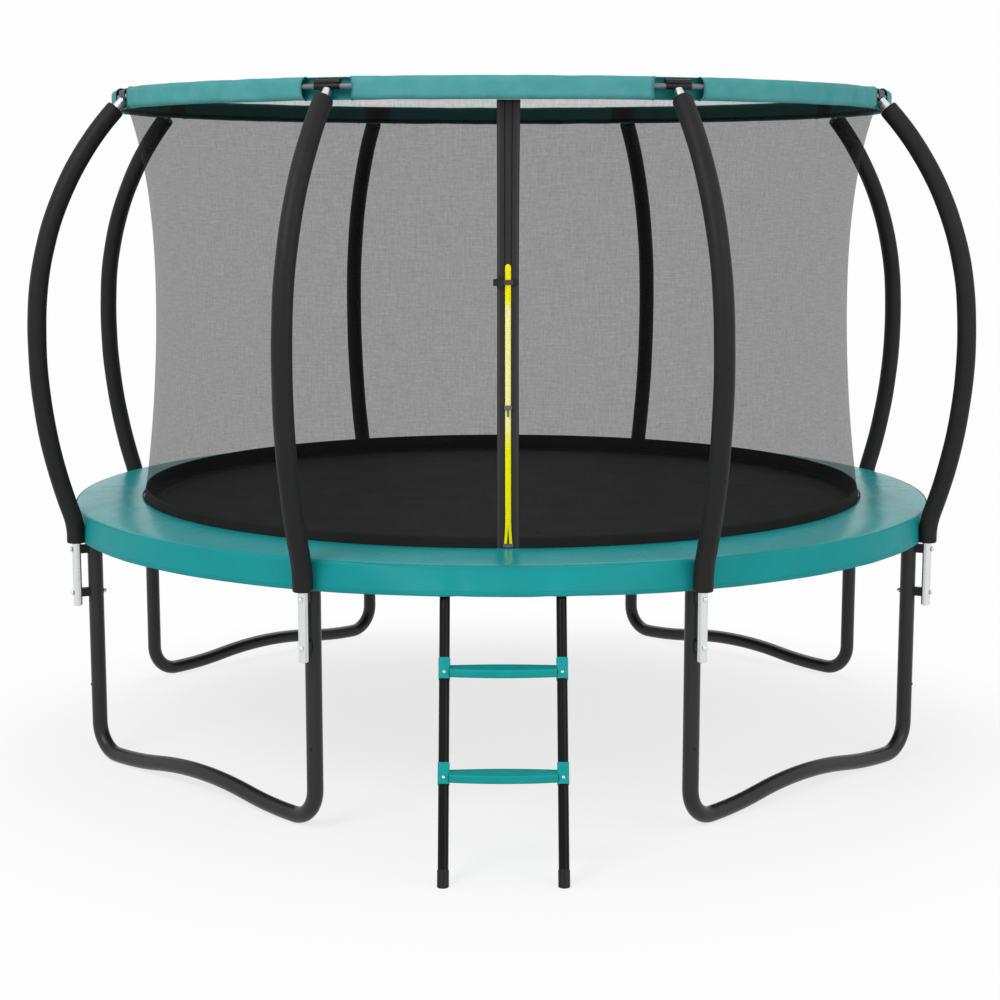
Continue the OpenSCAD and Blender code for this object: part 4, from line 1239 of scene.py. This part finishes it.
class AddMat(bpy.types.Operator):
    """Adds the jumping mat with its sewn edge band, tabs and wire rings"""

    bl_idname = "trampoline.mat"
    bl_label = "Jumping Mat"

    def execute(self, context):
        wide = context.scene.trampoline_sizes.mat_band
        count = context.scene.trampoline_sizes.spring_count
        # Woven polypropylene: flat glossy tapes that mirror the light at a low angle
        made, tree, shader = new_material(
            "Woven polypropylene mat cloth", {"IOR": 1.5, "Specular IOR Level": 0.06}
        )
        cut = cut_place(tree)
        height = weave(tree, cut, 4.0)  # tapes of about 1.5 mm, drawn as coarse as they need to show
        drift = speckle(tree, cut, 160, 0.0, 1.0, 2.0)
        base = colours(tree, drift, [(0.0, linear("#191919")), (1.0, linear("#1c1c1c"))])
        feed(shader, "Base Color", mixed(tree, height, linear("#141414"), base))
        feed(shader, "Roughness", speckle(tree, cut, 160, 0.6, 0.66))
        bumped(tree, shader, height, 0.05)

        edge_r = MAT_R - 0.0004
        radii = [0.0, 0.02, *np.linspace(0.08, edge_r - wide, 16), edge_r - wide / 2, edge_r]
        columns = 256
        top, low = MAT_TOP - 0.0014, MAT_TOP - 0.0028
        points = [Vector((0, AXIS_Y, top)), Vector((0, AXIS_Y, low))]
        for z in (top, low):
            for r in radii[1:]:
                points += [spot(360 * i / columns, r, z) for i in range(columns)]
        rings = len(radii) - 1
        faces = []
        for side in (0, 1):
            first = 2 + side * rings * columns
            for i in range(columns):
                i2 = (i + 1) % columns
                faces.append([side, first + i, first + i2] if side == 0 else [side, first + i2, first + i])
                for ring in range(rings - 1):
                    a, b = first + ring * columns, first + (ring + 1) * columns
                    quad = [a + i, b + i, b + i2, a + i2]
                    faces.append(quad if side == 0 else quad[::-1])
        a, b = 2 + (rings - 1) * columns, 2 + (2 * rings - 1) * columns
        for i in range(columns):
            faces.append([a + i, b + i, b + (i + 1) % columns, a + (i + 1) % columns])
        corners = [(points[v].x, points[v].y) for f in faces for v in f]
        sheet = soft_mesh("mat_sheet", points, faces, corners, outward=True)
        dress(sheet, made, "mat", "mat_fabric", "jump_mat")

        # Webbing folded over the mat's edge, with three rows of stitches on its top
        webbing = woven(
            "Black polyester edge webbing", linear("#1e1e1e"), linear("#191919"), 2.4, 0.66,
            hems=(0.006, 0.022, 0.044), dark_thread=linear("#262626"), specular=0.06
        )
        profile = [
            (edge_r - wide, MAT_TOP - 0.0012), (
                edge_r - wide + 0.001, MAT_TOP - 0.0002
            ), (edge_r - wide / 2, MAT_TOP - 0.0001),
            (
                edge_r - 0.002, MAT_TOP - 0.0001
            ), (edge_r, MAT_TOP - 0.0012), (edge_r, MAT_TOP - 0.0030), (edge_r - 0.002, MAT_TOP - 0.0039),
            (edge_r - wide / 2, MAT_TOP - 0.0039), (
                edge_r - wide + 0.001, MAT_TOP - 0.0038
            ), (edge_r - wide, MAT_TOP - 0.0030),
        ]
        rows = [[spot(360 * i / 256, r, z) for r, z in profile] for i in range(256)]
        across = [2 * math.pi * MAT_R * i / 256 for i in range(257)]
        along = running_length([(r, z, 0) for r, z in profile], closed=True)
        edge = cloth_grid(
            "mat_edge_band", rows, across, along, close_across=True, close_along=True, outward=True
        )
        dress(edge, webbing, "mat", "mat_fabric")

        # Wire ring: a rounded triangle bent from one bar, held by the mat's edge
        zinc = bpy.data.materials["Bright zinc plate"]
        wire = 0.0019
        z = MAT_TOP - 0.002
        inner, apex, wide = MAT_R + 0.0002 + wire, MAT_R + 0.020 - wire, 0.0155
        corner_points = []
        for x, y, r, a0, a1 in (
            (inner + 0.003, AXIS_Y - wide + 0.002, 0.003, 180, 305),
            (apex - 0.003, AXIS_Y, 0.003, -55, 55),
            (inner + 0.003, AXIS_Y + wide - 0.002, 0.003, 55, 180),
        ):
            for a in np.radians(np.linspace(a0, a1, 6)):
                corner_points.append((x + r * math.cos(a), y + r * math.sin(a), z))
        ring = swept_round("mat_ring", corner_points, wire, 8, closed=True)
        tab_points = []
        for x, zz in (
            (MAT_R - 0.03, z + 0.0021), (MAT_R - 0.004, z + 0.0023), (MAT_R + 0.0016, z + 0.0026),
            (MAT_R + 0.0044, z), (MAT_R + 0.0016, z - 0.0026), (MAT_R - 0.004, z - 0.0023),
            (MAT_R - 0.03, z - 0.0021)
        ):
            tab_points.append([Vector((x, AXIS_Y + y, zz)) for y in np.linspace(-0.0125, 0.0125, 6)])
        tab = cloth_grid(
            "mat_tab", tab_points, running_length([row[0] for row in tab_points]),
            list(np.linspace(-0.0125, 0.0125, 6)), outward=True
        )
        rings, tabs = [], []
        for i in range(count):
            matrix = turned((i + 0.5) * 360 / count)
            rings.append(copied(ring, f"ring_{i}", matrix))
            tabs.append(copied(tab, f"tab_{i}", matrix))
        bpy.data.objects.remove(ring)
        bpy.data.objects.remove(tab)
        dress(joined(rings, "mat_wire_rings"), zinc, "mat", "galvanised", "mat_rings")
        dress(joined(tabs, "mat_tabs"), webbing, "mat", "mat_fabric")
        return {"FINISHED"}


class AddSprings(bpy.types.Operator):
    """Adds the coil springs, each hooked between a mat ring and the frame"""

    bl_idname = "trampoline.springs"
    bl_label = "Springs"

    def execute(self, context):
        sizes = context.scene.trampoline_sizes
        zinc = bpy.data.materials["Bright zinc plate"]
        wire, count = sizes.spring_wire / 2, sizes.spring_count
        start = Vector((MAT_R + 0.0222, AXIS_Y, MAT_TOP - 0.002))
        rail = Vector((FRAME_R, AXIS_Y, FRAME_Z))
        way = (rail - start).normalized()
        up = Vector((0, 1, 0)).cross(way) * -1
        if up.z < 0:
            up = -up
        shapes = []
        middle_r = sizes.spring_diameter / 2 - wire
        turns, steps = 30, 12
        # A spring beside one of the frame's sockets ends a little shorter than the others
        for shorter in (0.0, 0.002):
            run = (rail - start).length - 0.0255 - shorter
            coil0, coil1 = 0.022, run - 0.022
            path = []
            # Hook at the mat's ring, coil, and hook at the frame
            for a in np.radians(np.linspace(-150, 0, 6)):
                path.append(
                    (0.0045 + 0.0045 * math.cos(a + math.pi), 0.0, 0.0045 * math.sin(a + math.pi) + 0.0045)
                )
            path = [(p[0], p[1], p[2] - 0.0045) for p in path]
            path += [(coil0 - 0.005, 0.0, 0.002)]
            for i in range(turns * steps + 1):
                a = 2 * math.pi * i / steps
                path.append(
                    (
                        coil0 + (coil1 - coil0) * i / (turns * steps), middle_r * math.sin(a),
                        middle_r * math.cos(a)
                    )
                )
            path += [(coil1 + 0.006, 0.0, 0.002), (run - 0.003, 0.0, 0.0), (run, 0.0, 0.0)]
            line = [start + way * x + Vector((0, 1, 0)) * y + up * z for x, y, z in path]
            shapes.append(swept_round("spring", line, wire, 6, ends=[(0.6, wire * 0.6), (0.05, wire * 0.8)]))
        for i in range(count):
            angle = (i + 0.5) * 360 / count
            beside = abs(angle % 45 - 22.5) < 3.4
            piece = copied(shapes[beside], f"spring_{i + 1:02d}", turned(angle))
            dress(piece, zinc, None, "galvanised", "springs")
            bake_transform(piece)
        for shape in shapes:
            bpy.data.objects.remove(shape)
        return {"FINISHED"}


# ---------------------------------------------------------------- safety pad


def cover_material(name, colour, gloss, specular, edge_rows, drift_mm=180):
    """PVC-coated polyester: a glossy skin that shows the weave of its cloth faintly, with stitched seams."""
    made, tree, shader = new_material(name, {"IOR": 1.5, "Specular IOR Level": specular})
    place, cut = object_place(tree), cut_place(tree)
    run = axes(tree, cut)
    drift = speckle(tree, place, drift_mm, 0.0, 1.0, 2.0)
    tone = colours(tree, drift, [(0.0, shade(colour, 0.96)), (1.0, shade(colour, 1.05))])
    height = weave(tree, cut, 2.2)
    if edge_rows:
        seam = stitches(tree, run["X"], run["Y"], edge_rows)
        tone = mixed(tree, seam, tone, shade(colour, 0.72))
        height = math_node(tree, "SUBTRACT", height, math_node(tree, "MULTIPLY", seam, 3.0))
    feed(shader, "Base Color", tone)
    feed(shader, "Roughness", speckle(tree, place, 120, gloss - 0.03, gloss + 0.03))
    bumped(tree, shader, height, 0.015)
    return made


def pad_section():
    """The pad's closed outline as (radius, height, share of the top's softness)."""
    r0, r1, low = PAD_IN, SKIRT_R - 0.0025, 0.8259
    top0, top1, crown = 0.8590, 0.8467, 0.0028
    section = [(r0 + 0.0002, 0.8470, 0), (r0, 0.8515, 0), (r0 + 0.0012, 0.8560, 0), (r0 + 0.0045, 0.8588, 0.1)]
    for u in np.linspace(0.06, 0.94, 16):
        r = r0 + (r1 - r0) * u
        bow = 1 - (2 * u - 1) ** 4
        section.append((r, top0 + (top1 - top0) * u + crown * bow, min(1.0, 3 * min(u, 1 - u))))
    section += [
        (r1 - 0.006, 0.8474, 0.1), (r1 - 0.0008, 0.8450, 0), (r1 + 0.0010, 0.8400, 0), (r1 + 0.0008, 0.8320, 0),
        (r1 - 0.0015, 0.8272, 0), (r1 - 0.007, low, 0)
    ]
    for u in (0.2, 0.5, 0.8):
        section.append((r1 - 0.007 - (0.058 - 0.007) * u, low, 0))
    for u in np.linspace(0, 0.97, 7):
        section.append((r1 - 0.058 - (r1 - 0.058 - r0) * u, low + (0.8432 - low) * u, 0))
    return section


class AddPad(bpy.types.Operator):
    """Adds the padded ring over the springs, its skirt, and the front flap that lies over the ladder"""

    bl_idname = "trampoline.pad"
    bl_label = "Safety Pad"

    def execute(self, context):
        paint = context.scene.trampoline_colours
        section = pad_section()
        columns = 480
        ladder_x = (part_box("ladder_rail_right")[0].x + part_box("ladder_rail_right")[1].x) / 2
        rows = []
        for i in range(columns):
            angle = 360 * i / columns
            turn = math.radians(angle)
            to_seam = abs((angle + 22.5) % 45 - 22.5) * math.pi / 180 * PAD_MID_R
            groove = math.exp(-((to_seam / 0.005) ** 2))
            gather = math.exp(-to_seam / 0.09)
            row = []
            for r, z, softness in section:
                x, y = math.cos(turn) * r, math.sin(turn) * r
                soft = 0.0011 * noise.noise(Vector((x * 5, y * 5, 1.0))) + 0.0005 * noise.noise(
                    Vector((x * 16, y * 16, 4.0))
                )
                crease = 0.0006 * gather * math.sin((r - 1.3) * 160)
                z += softness * (soft + crease - 0.0018 * groove)
                point = spot(angle, r, z)
                if z < 0.836 and abs(abs(point.x) - ladder_x) < 0.018 and point.y < AXIS_Y - 1.4:
                    near = 1 - max(0.0, abs(abs(point.x) - ladder_x) - 0.012) / 0.006
                    point.z += 0.0042 * near
                row.append(point)
            rows.append(row)
        across = [2 * math.pi * PAD_MID_R * i / columns for i in range(columns + 1)]
        along = running_length([(r, z, 0) for r, z, s in section], closed=True)
        pad = cloth_grid("pad_ring", rows, across, along, close_across=True, close_along=True, outward=True)
        inner_seam, outer_seam = along[4] + 0.008, along[20] - 0.012
        cover = cover_material("Glossy PVC pad cover", paint.teal_cover, 0.26, 0.11, (inner_seam, outer_seam))
        dress(pad, cover, "frame", "pad_pvc", "safety_pad")

        # Skirt: one band hangs from the pad's outer edge all round, with a slight wave. At the front it falls
        # over the frame and the ladder's rails, swings out with the ladder, and runs back into line on both
        # sides
        skirt_cloth = cover_material("PVC skirt cloth", paint.teal_skirt, 0.5, 0.16, (0.080, 0.084))
        drop = SKIRT_TOP - SKIRT_LOW
        heights = np.linspace(0, 1, 13)
        line = [
            (0.0, 0.8458), (0.006, 0.8440), (0.014, 0.8370), (0.024, 0.8250), (0.034, 0.8120), (0.043, 0.7990),
            (0.0515, 0.7860), (0.057, 0.7760), (0.0595, 0.7668)
        ]
        runs = running_length([(r, z, 0) for r, z in line])
        half = math.radians(FLAP_HALF) * SKIRT_R
        angles = [*np.linspace(-FLAP_HALF, FLAP_HALF, 169)[:-1], *np.linspace(FLAP_HALF, 360 - FLAP_HALF, 401)]
        rows = []
        for angle in angles[:-1]:
            turn = math.radians(angle)
            x = abs((angle + 180) % 360 - 180) * math.pi / 180 * SKIRT_R
            side = min(1.0, max(0.0, (x - ladder_x - 0.018) / (half - ladder_x - 0.018)))
            flare = 1 - side * side * (3 - 2 * side)
            wave = noise.noise(
                Vector((math.cos(turn) * 11, math.sin(turn) * 11, 0.0))
            ) + 0.5 * noise.noise(Vector((math.cos(turn) * 30, math.sin(turn) * 30, 2.0)))
            ridge = math.exp(-(((x - ladder_x) / 0.020) ** 2))
            hollow = math.exp(-(((x - ladder_x + 0.046) / 0.026) ** 2))
            row = []
            for h in heights:
                out = 0.0008 + 0.0024 * wave * h ** 1.2 + 0.0066 * h
                away = np.interp(h * runs[-1], runs, [p[0] for p in line]) + h * (
                    0.003 * ridge - 0.006 * hollow + 0.003 * wave
                )
                low = np.interp(h * runs[-1], runs, [p[1] for p in line]) - 0.0003
                row.append(
                    spot(
                        angle, SKIRT_R - 0.0006 + out * (1 - flare) + away * flare,
                        (SKIRT_TOP - drop * h) * (1 - flare) + low * flare
                    )
                )
            rows.append(row)
        across = [math.radians(angle - angles[0]) * SKIRT_R for angle in angles]
        skirt = cloth_grid("pad_skirt", rows, across, [drop * h for h in heights], close_across=True, flip=True)
        modify(skirt, "SOLIDIFY", thickness=CLOTH, offset=-1)
        apply_modifiers(skirt)
        dress(skirt, skirt_cloth, None, "flap_pvc", "front_flap")
        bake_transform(skirt)
        return {"FINISHED"}


# ---------------------------------------------------------------- ladder


class AddLadderScrews(bpy.types.Operator):
    """Adds the cross-recessed screws in the ladder's step clamps"""

    bl_idname = "trampoline.ladder_screws"
    bl_label = "Ladder Screws"

    def execute(self, context):
        steel = bright_zinc("Bright zinc screws", linear("#c9ccce"))
        low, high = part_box("ladder_screws")
        head = domed_head(32, 0.005, 0.48)
        cutters = []
        for turn in (0, 90):
            bpy.ops.mesh.primitive_cube_add(
                size=1, location=(0, 0, 0.0024), scale=(0.0052, 0.0011, 0.0022),
                rotation=(0, 0, math.radians(turn))
            )
            cutters.append(place(bpy.context.object))
        for cutter in cutters:
            modify(head, "BOOLEAN", object=cutter, operation="DIFFERENCE", solver="EXACT")
        apply_modifiers(head)
        for cutter in cutters:
            bpy.data.objects.remove(cutter)
        smooth(head, 35)
        # In the frame, the four screws stand square to the rails on the clamps' front faces
        found, front = [], {}
        for v in FRAME["nodes"]["ladder_screws"].data.vertices:
            key = (v.co.x > 0, v.co.z > (low.z + high.z) / 2)
            front.setdefault(key, []).append(v.co.copy())
        out = Vector((0, -math.cos(LADDER_LEAN), math.sin(LADDER_LEAN)))
        for key in sorted(front):
            points = front[key]
            far = max(p.dot(out) for p in points)
            rim = [p for p in points if p.dot(out) > far - 0.0001]
            centre = sum(rim, Vector()) / len(rim) - out * 0.0025
            matrix = Matrix.Translation(centre) @ Matrix.Rotation(math.radians(90) - LADDER_LEAN, 4, "X")
            found.append(copied(head, f"screw_{len(found)}", matrix))
        bpy.data.objects.remove(head)
        dress(joined(found, "ladder_screw_heads"), steel, "ladder", "screw_white", "ladder_screws")
        return {"FINISHED"}


# ---------------------------------------------------------------- stage


class SetStage(bpy.types.Operator):
    """Sets the pale floor, the soft light and the camera"""

    bl_idname = "trampoline.stage"
    bl_label = "Stage"

    def seen(self, tree):
        """1 for rays that show the stage itself: straight from the camera, mirrored, or through the net."""
        rays = add_node(tree, "ShaderNodeLightPath").outputs
        direct = math_node(tree, "MAXIMUM", rays["Is Camera Ray"], rays["Is Glossy Ray"])
        return math_node(tree, "MAXIMUM", direct, rays["Is Transmission Ray"])

    def execute(self, context):
        scene = context.scene
        scene.view_settings.view_transform = "Standard"
        deselect()
        bpy.ops.mesh.primitive_plane_add(size=60, location=(0, 0, -0.0005))
        floor = bpy.context.object
        floor.name = "studio_floor"
        made = bpy.data.materials.new("Pale studio floor")
        made.use_nodes = True
        tree = made.node_tree
        tree.nodes.clear()
        seen = self.seen(tree)
        # Near the trampoline the floor takes its shadow; further out it fades into the white backdrop
        away = add_node(
            tree, "ShaderNodeVectorMath", {0: object_place(tree), 1: (0, AXIS_Y - 0.45, 0)},
            operation="DISTANCE"
        ).outputs["Value"]
        fade = spread(tree, away, 1.35, 2.4, interpolation_type="SMOOTHSTEP")
        lit = add_node(tree, "ShaderNodeBsdfDiffuse", {"Color": (0.23, 0.23, 0.23, 1)})
        glow = add_node(tree, "ShaderNodeEmission", {"Color": (1, 1, 1, 1), "Strength": 0.76})
        both = add_node(tree, "ShaderNodeAddShader", {0: lit.outputs[0], 1: glow.outputs[0]})
        white = add_node(tree, "ShaderNodeEmission", {"Color": (0.99, 0.99, 0.99, 1), "Strength": 1.0})
        shown = add_node(tree, "ShaderNodeMixShader", {0: fade, 1: both.outputs[0], 2: white.outputs[0]})
        bounce = add_node(tree, "ShaderNodeBsdfDiffuse", {"Color": (0.8, 0.8, 0.8, 1)})
        mix = add_node(tree, "ShaderNodeMixShader", {0: seen, 1: bounce.outputs[0], 2: shown.outputs[0]})
        add_node(tree, "ShaderNodeOutputMaterial", {"Surface": mix.outputs[0]})
        floor.data.materials.append(made)

        world = bpy.data.worlds.new("Studio") if scene.world is None else scene.world
        scene.world = world
        world.use_nodes = True
        tree = world.node_tree
        tree.nodes.clear()
        ambient = add_node(tree, "ShaderNodeBackground", {"Color": (1, 1, 1, 1), "Strength": 0.55})
        back = add_node(tree, "ShaderNodeBackground", {"Color": (0.99, 0.99, 0.99, 1), "Strength": 1.0})
        mix = add_node(
            tree, "ShaderNodeMixShader", {0: self.seen(tree), 1: ambient.outputs[0], 2: back.outputs[0]}
        )
        add_node(tree, "ShaderNodeOutputWorld", {"Surface": mix.outputs[0]})

        for name, where, power, size in (
            ("key", (-3.6, -5.2, 6.0), 220, 3.0),
            ("fill", (4.6, -4.6, 3.6), 80, 3.5),
            ("rim", (0.5, 6.0, 6.0), 110, 4.0),
        ):
            light = bpy.data.lights.new(name, "AREA")
            light.energy, light.size = power, size
            lamp = bpy.data.objects.new(name, light)
            lamp.location = where
            lamp.rotation_euler = (Vector((0, AXIS_Y, 1.0)) - Vector(where)).to_track_quat("-Z", "Y").to_euler()
            scene.collection.objects.link(lamp)

        lens = bpy.data.cameras.new("camera")
        lens.lens, lens.sensor_width, lens.clip_end = 74.0, 36.0, 200
        camera = bpy.data.objects.new("camera", lens)
        camera.location = (-0.0243, AXIS_Y - 7.467, 1.965)
        camera.rotation_euler = (math.radians(81.18), 0, -0.00255)
        scene.collection.objects.link(camera)
        scene.camera = camera
        return {"FINISHED"}


class TrampolinePanel(bpy.types.Panel):
    bl_idname = "VIEW3D_PT_trampoline"
    bl_label = "Garden Trampoline"
    bl_space_type = "VIEW_3D"
    bl_region_type = "UI"
    bl_category = "Trampoline"

    def draw(self, context):
        for operator in OPERATORS:
            self.layout.operator(operator.bl_idname)
        for group in (context.scene.trampoline_sizes, context.scene.trampoline_colours):
            box = self.layout.box()
            for name in group.bl_rna.properties.keys():
                if name not in ("rna_type", "name"):
                    box.prop(group, name)


OPERATORS = (
    PaintFrame, AddBolts, AddFoam, AddRingSleeve, AddNet, AddDoor,
    AddMat, AddSprings, AddPad, AddLadderScrews, SetStage,
)
CLASSES = (TrampolineSizes, TrampolineColours, *OPERATORS, TrampolinePanel)


def register():
    for kind in CLASSES:
        bpy.utils.register_class(kind)
    bpy.types.Scene.trampoline_sizes = bpy.props.PointerProperty(type=TrampolineSizes)
    bpy.types.Scene.trampoline_colours = bpy.props.PointerProperty(type=TrampolineColours)


def unregister():
    del bpy.types.Scene.trampoline_colours
    del bpy.types.Scene.trampoline_sizes
    for kind in reversed(CLASSES):
        bpy.utils.unregister_class(kind)


def main():
    register()
    for operator in OPERATORS:
        group, name = operator.bl_idname.split(".")
        getattr(getattr(bpy.ops, group), name)()
    deselect()
    bpy.context.view_layer.update()


if __name__ == "__main__":
    main()
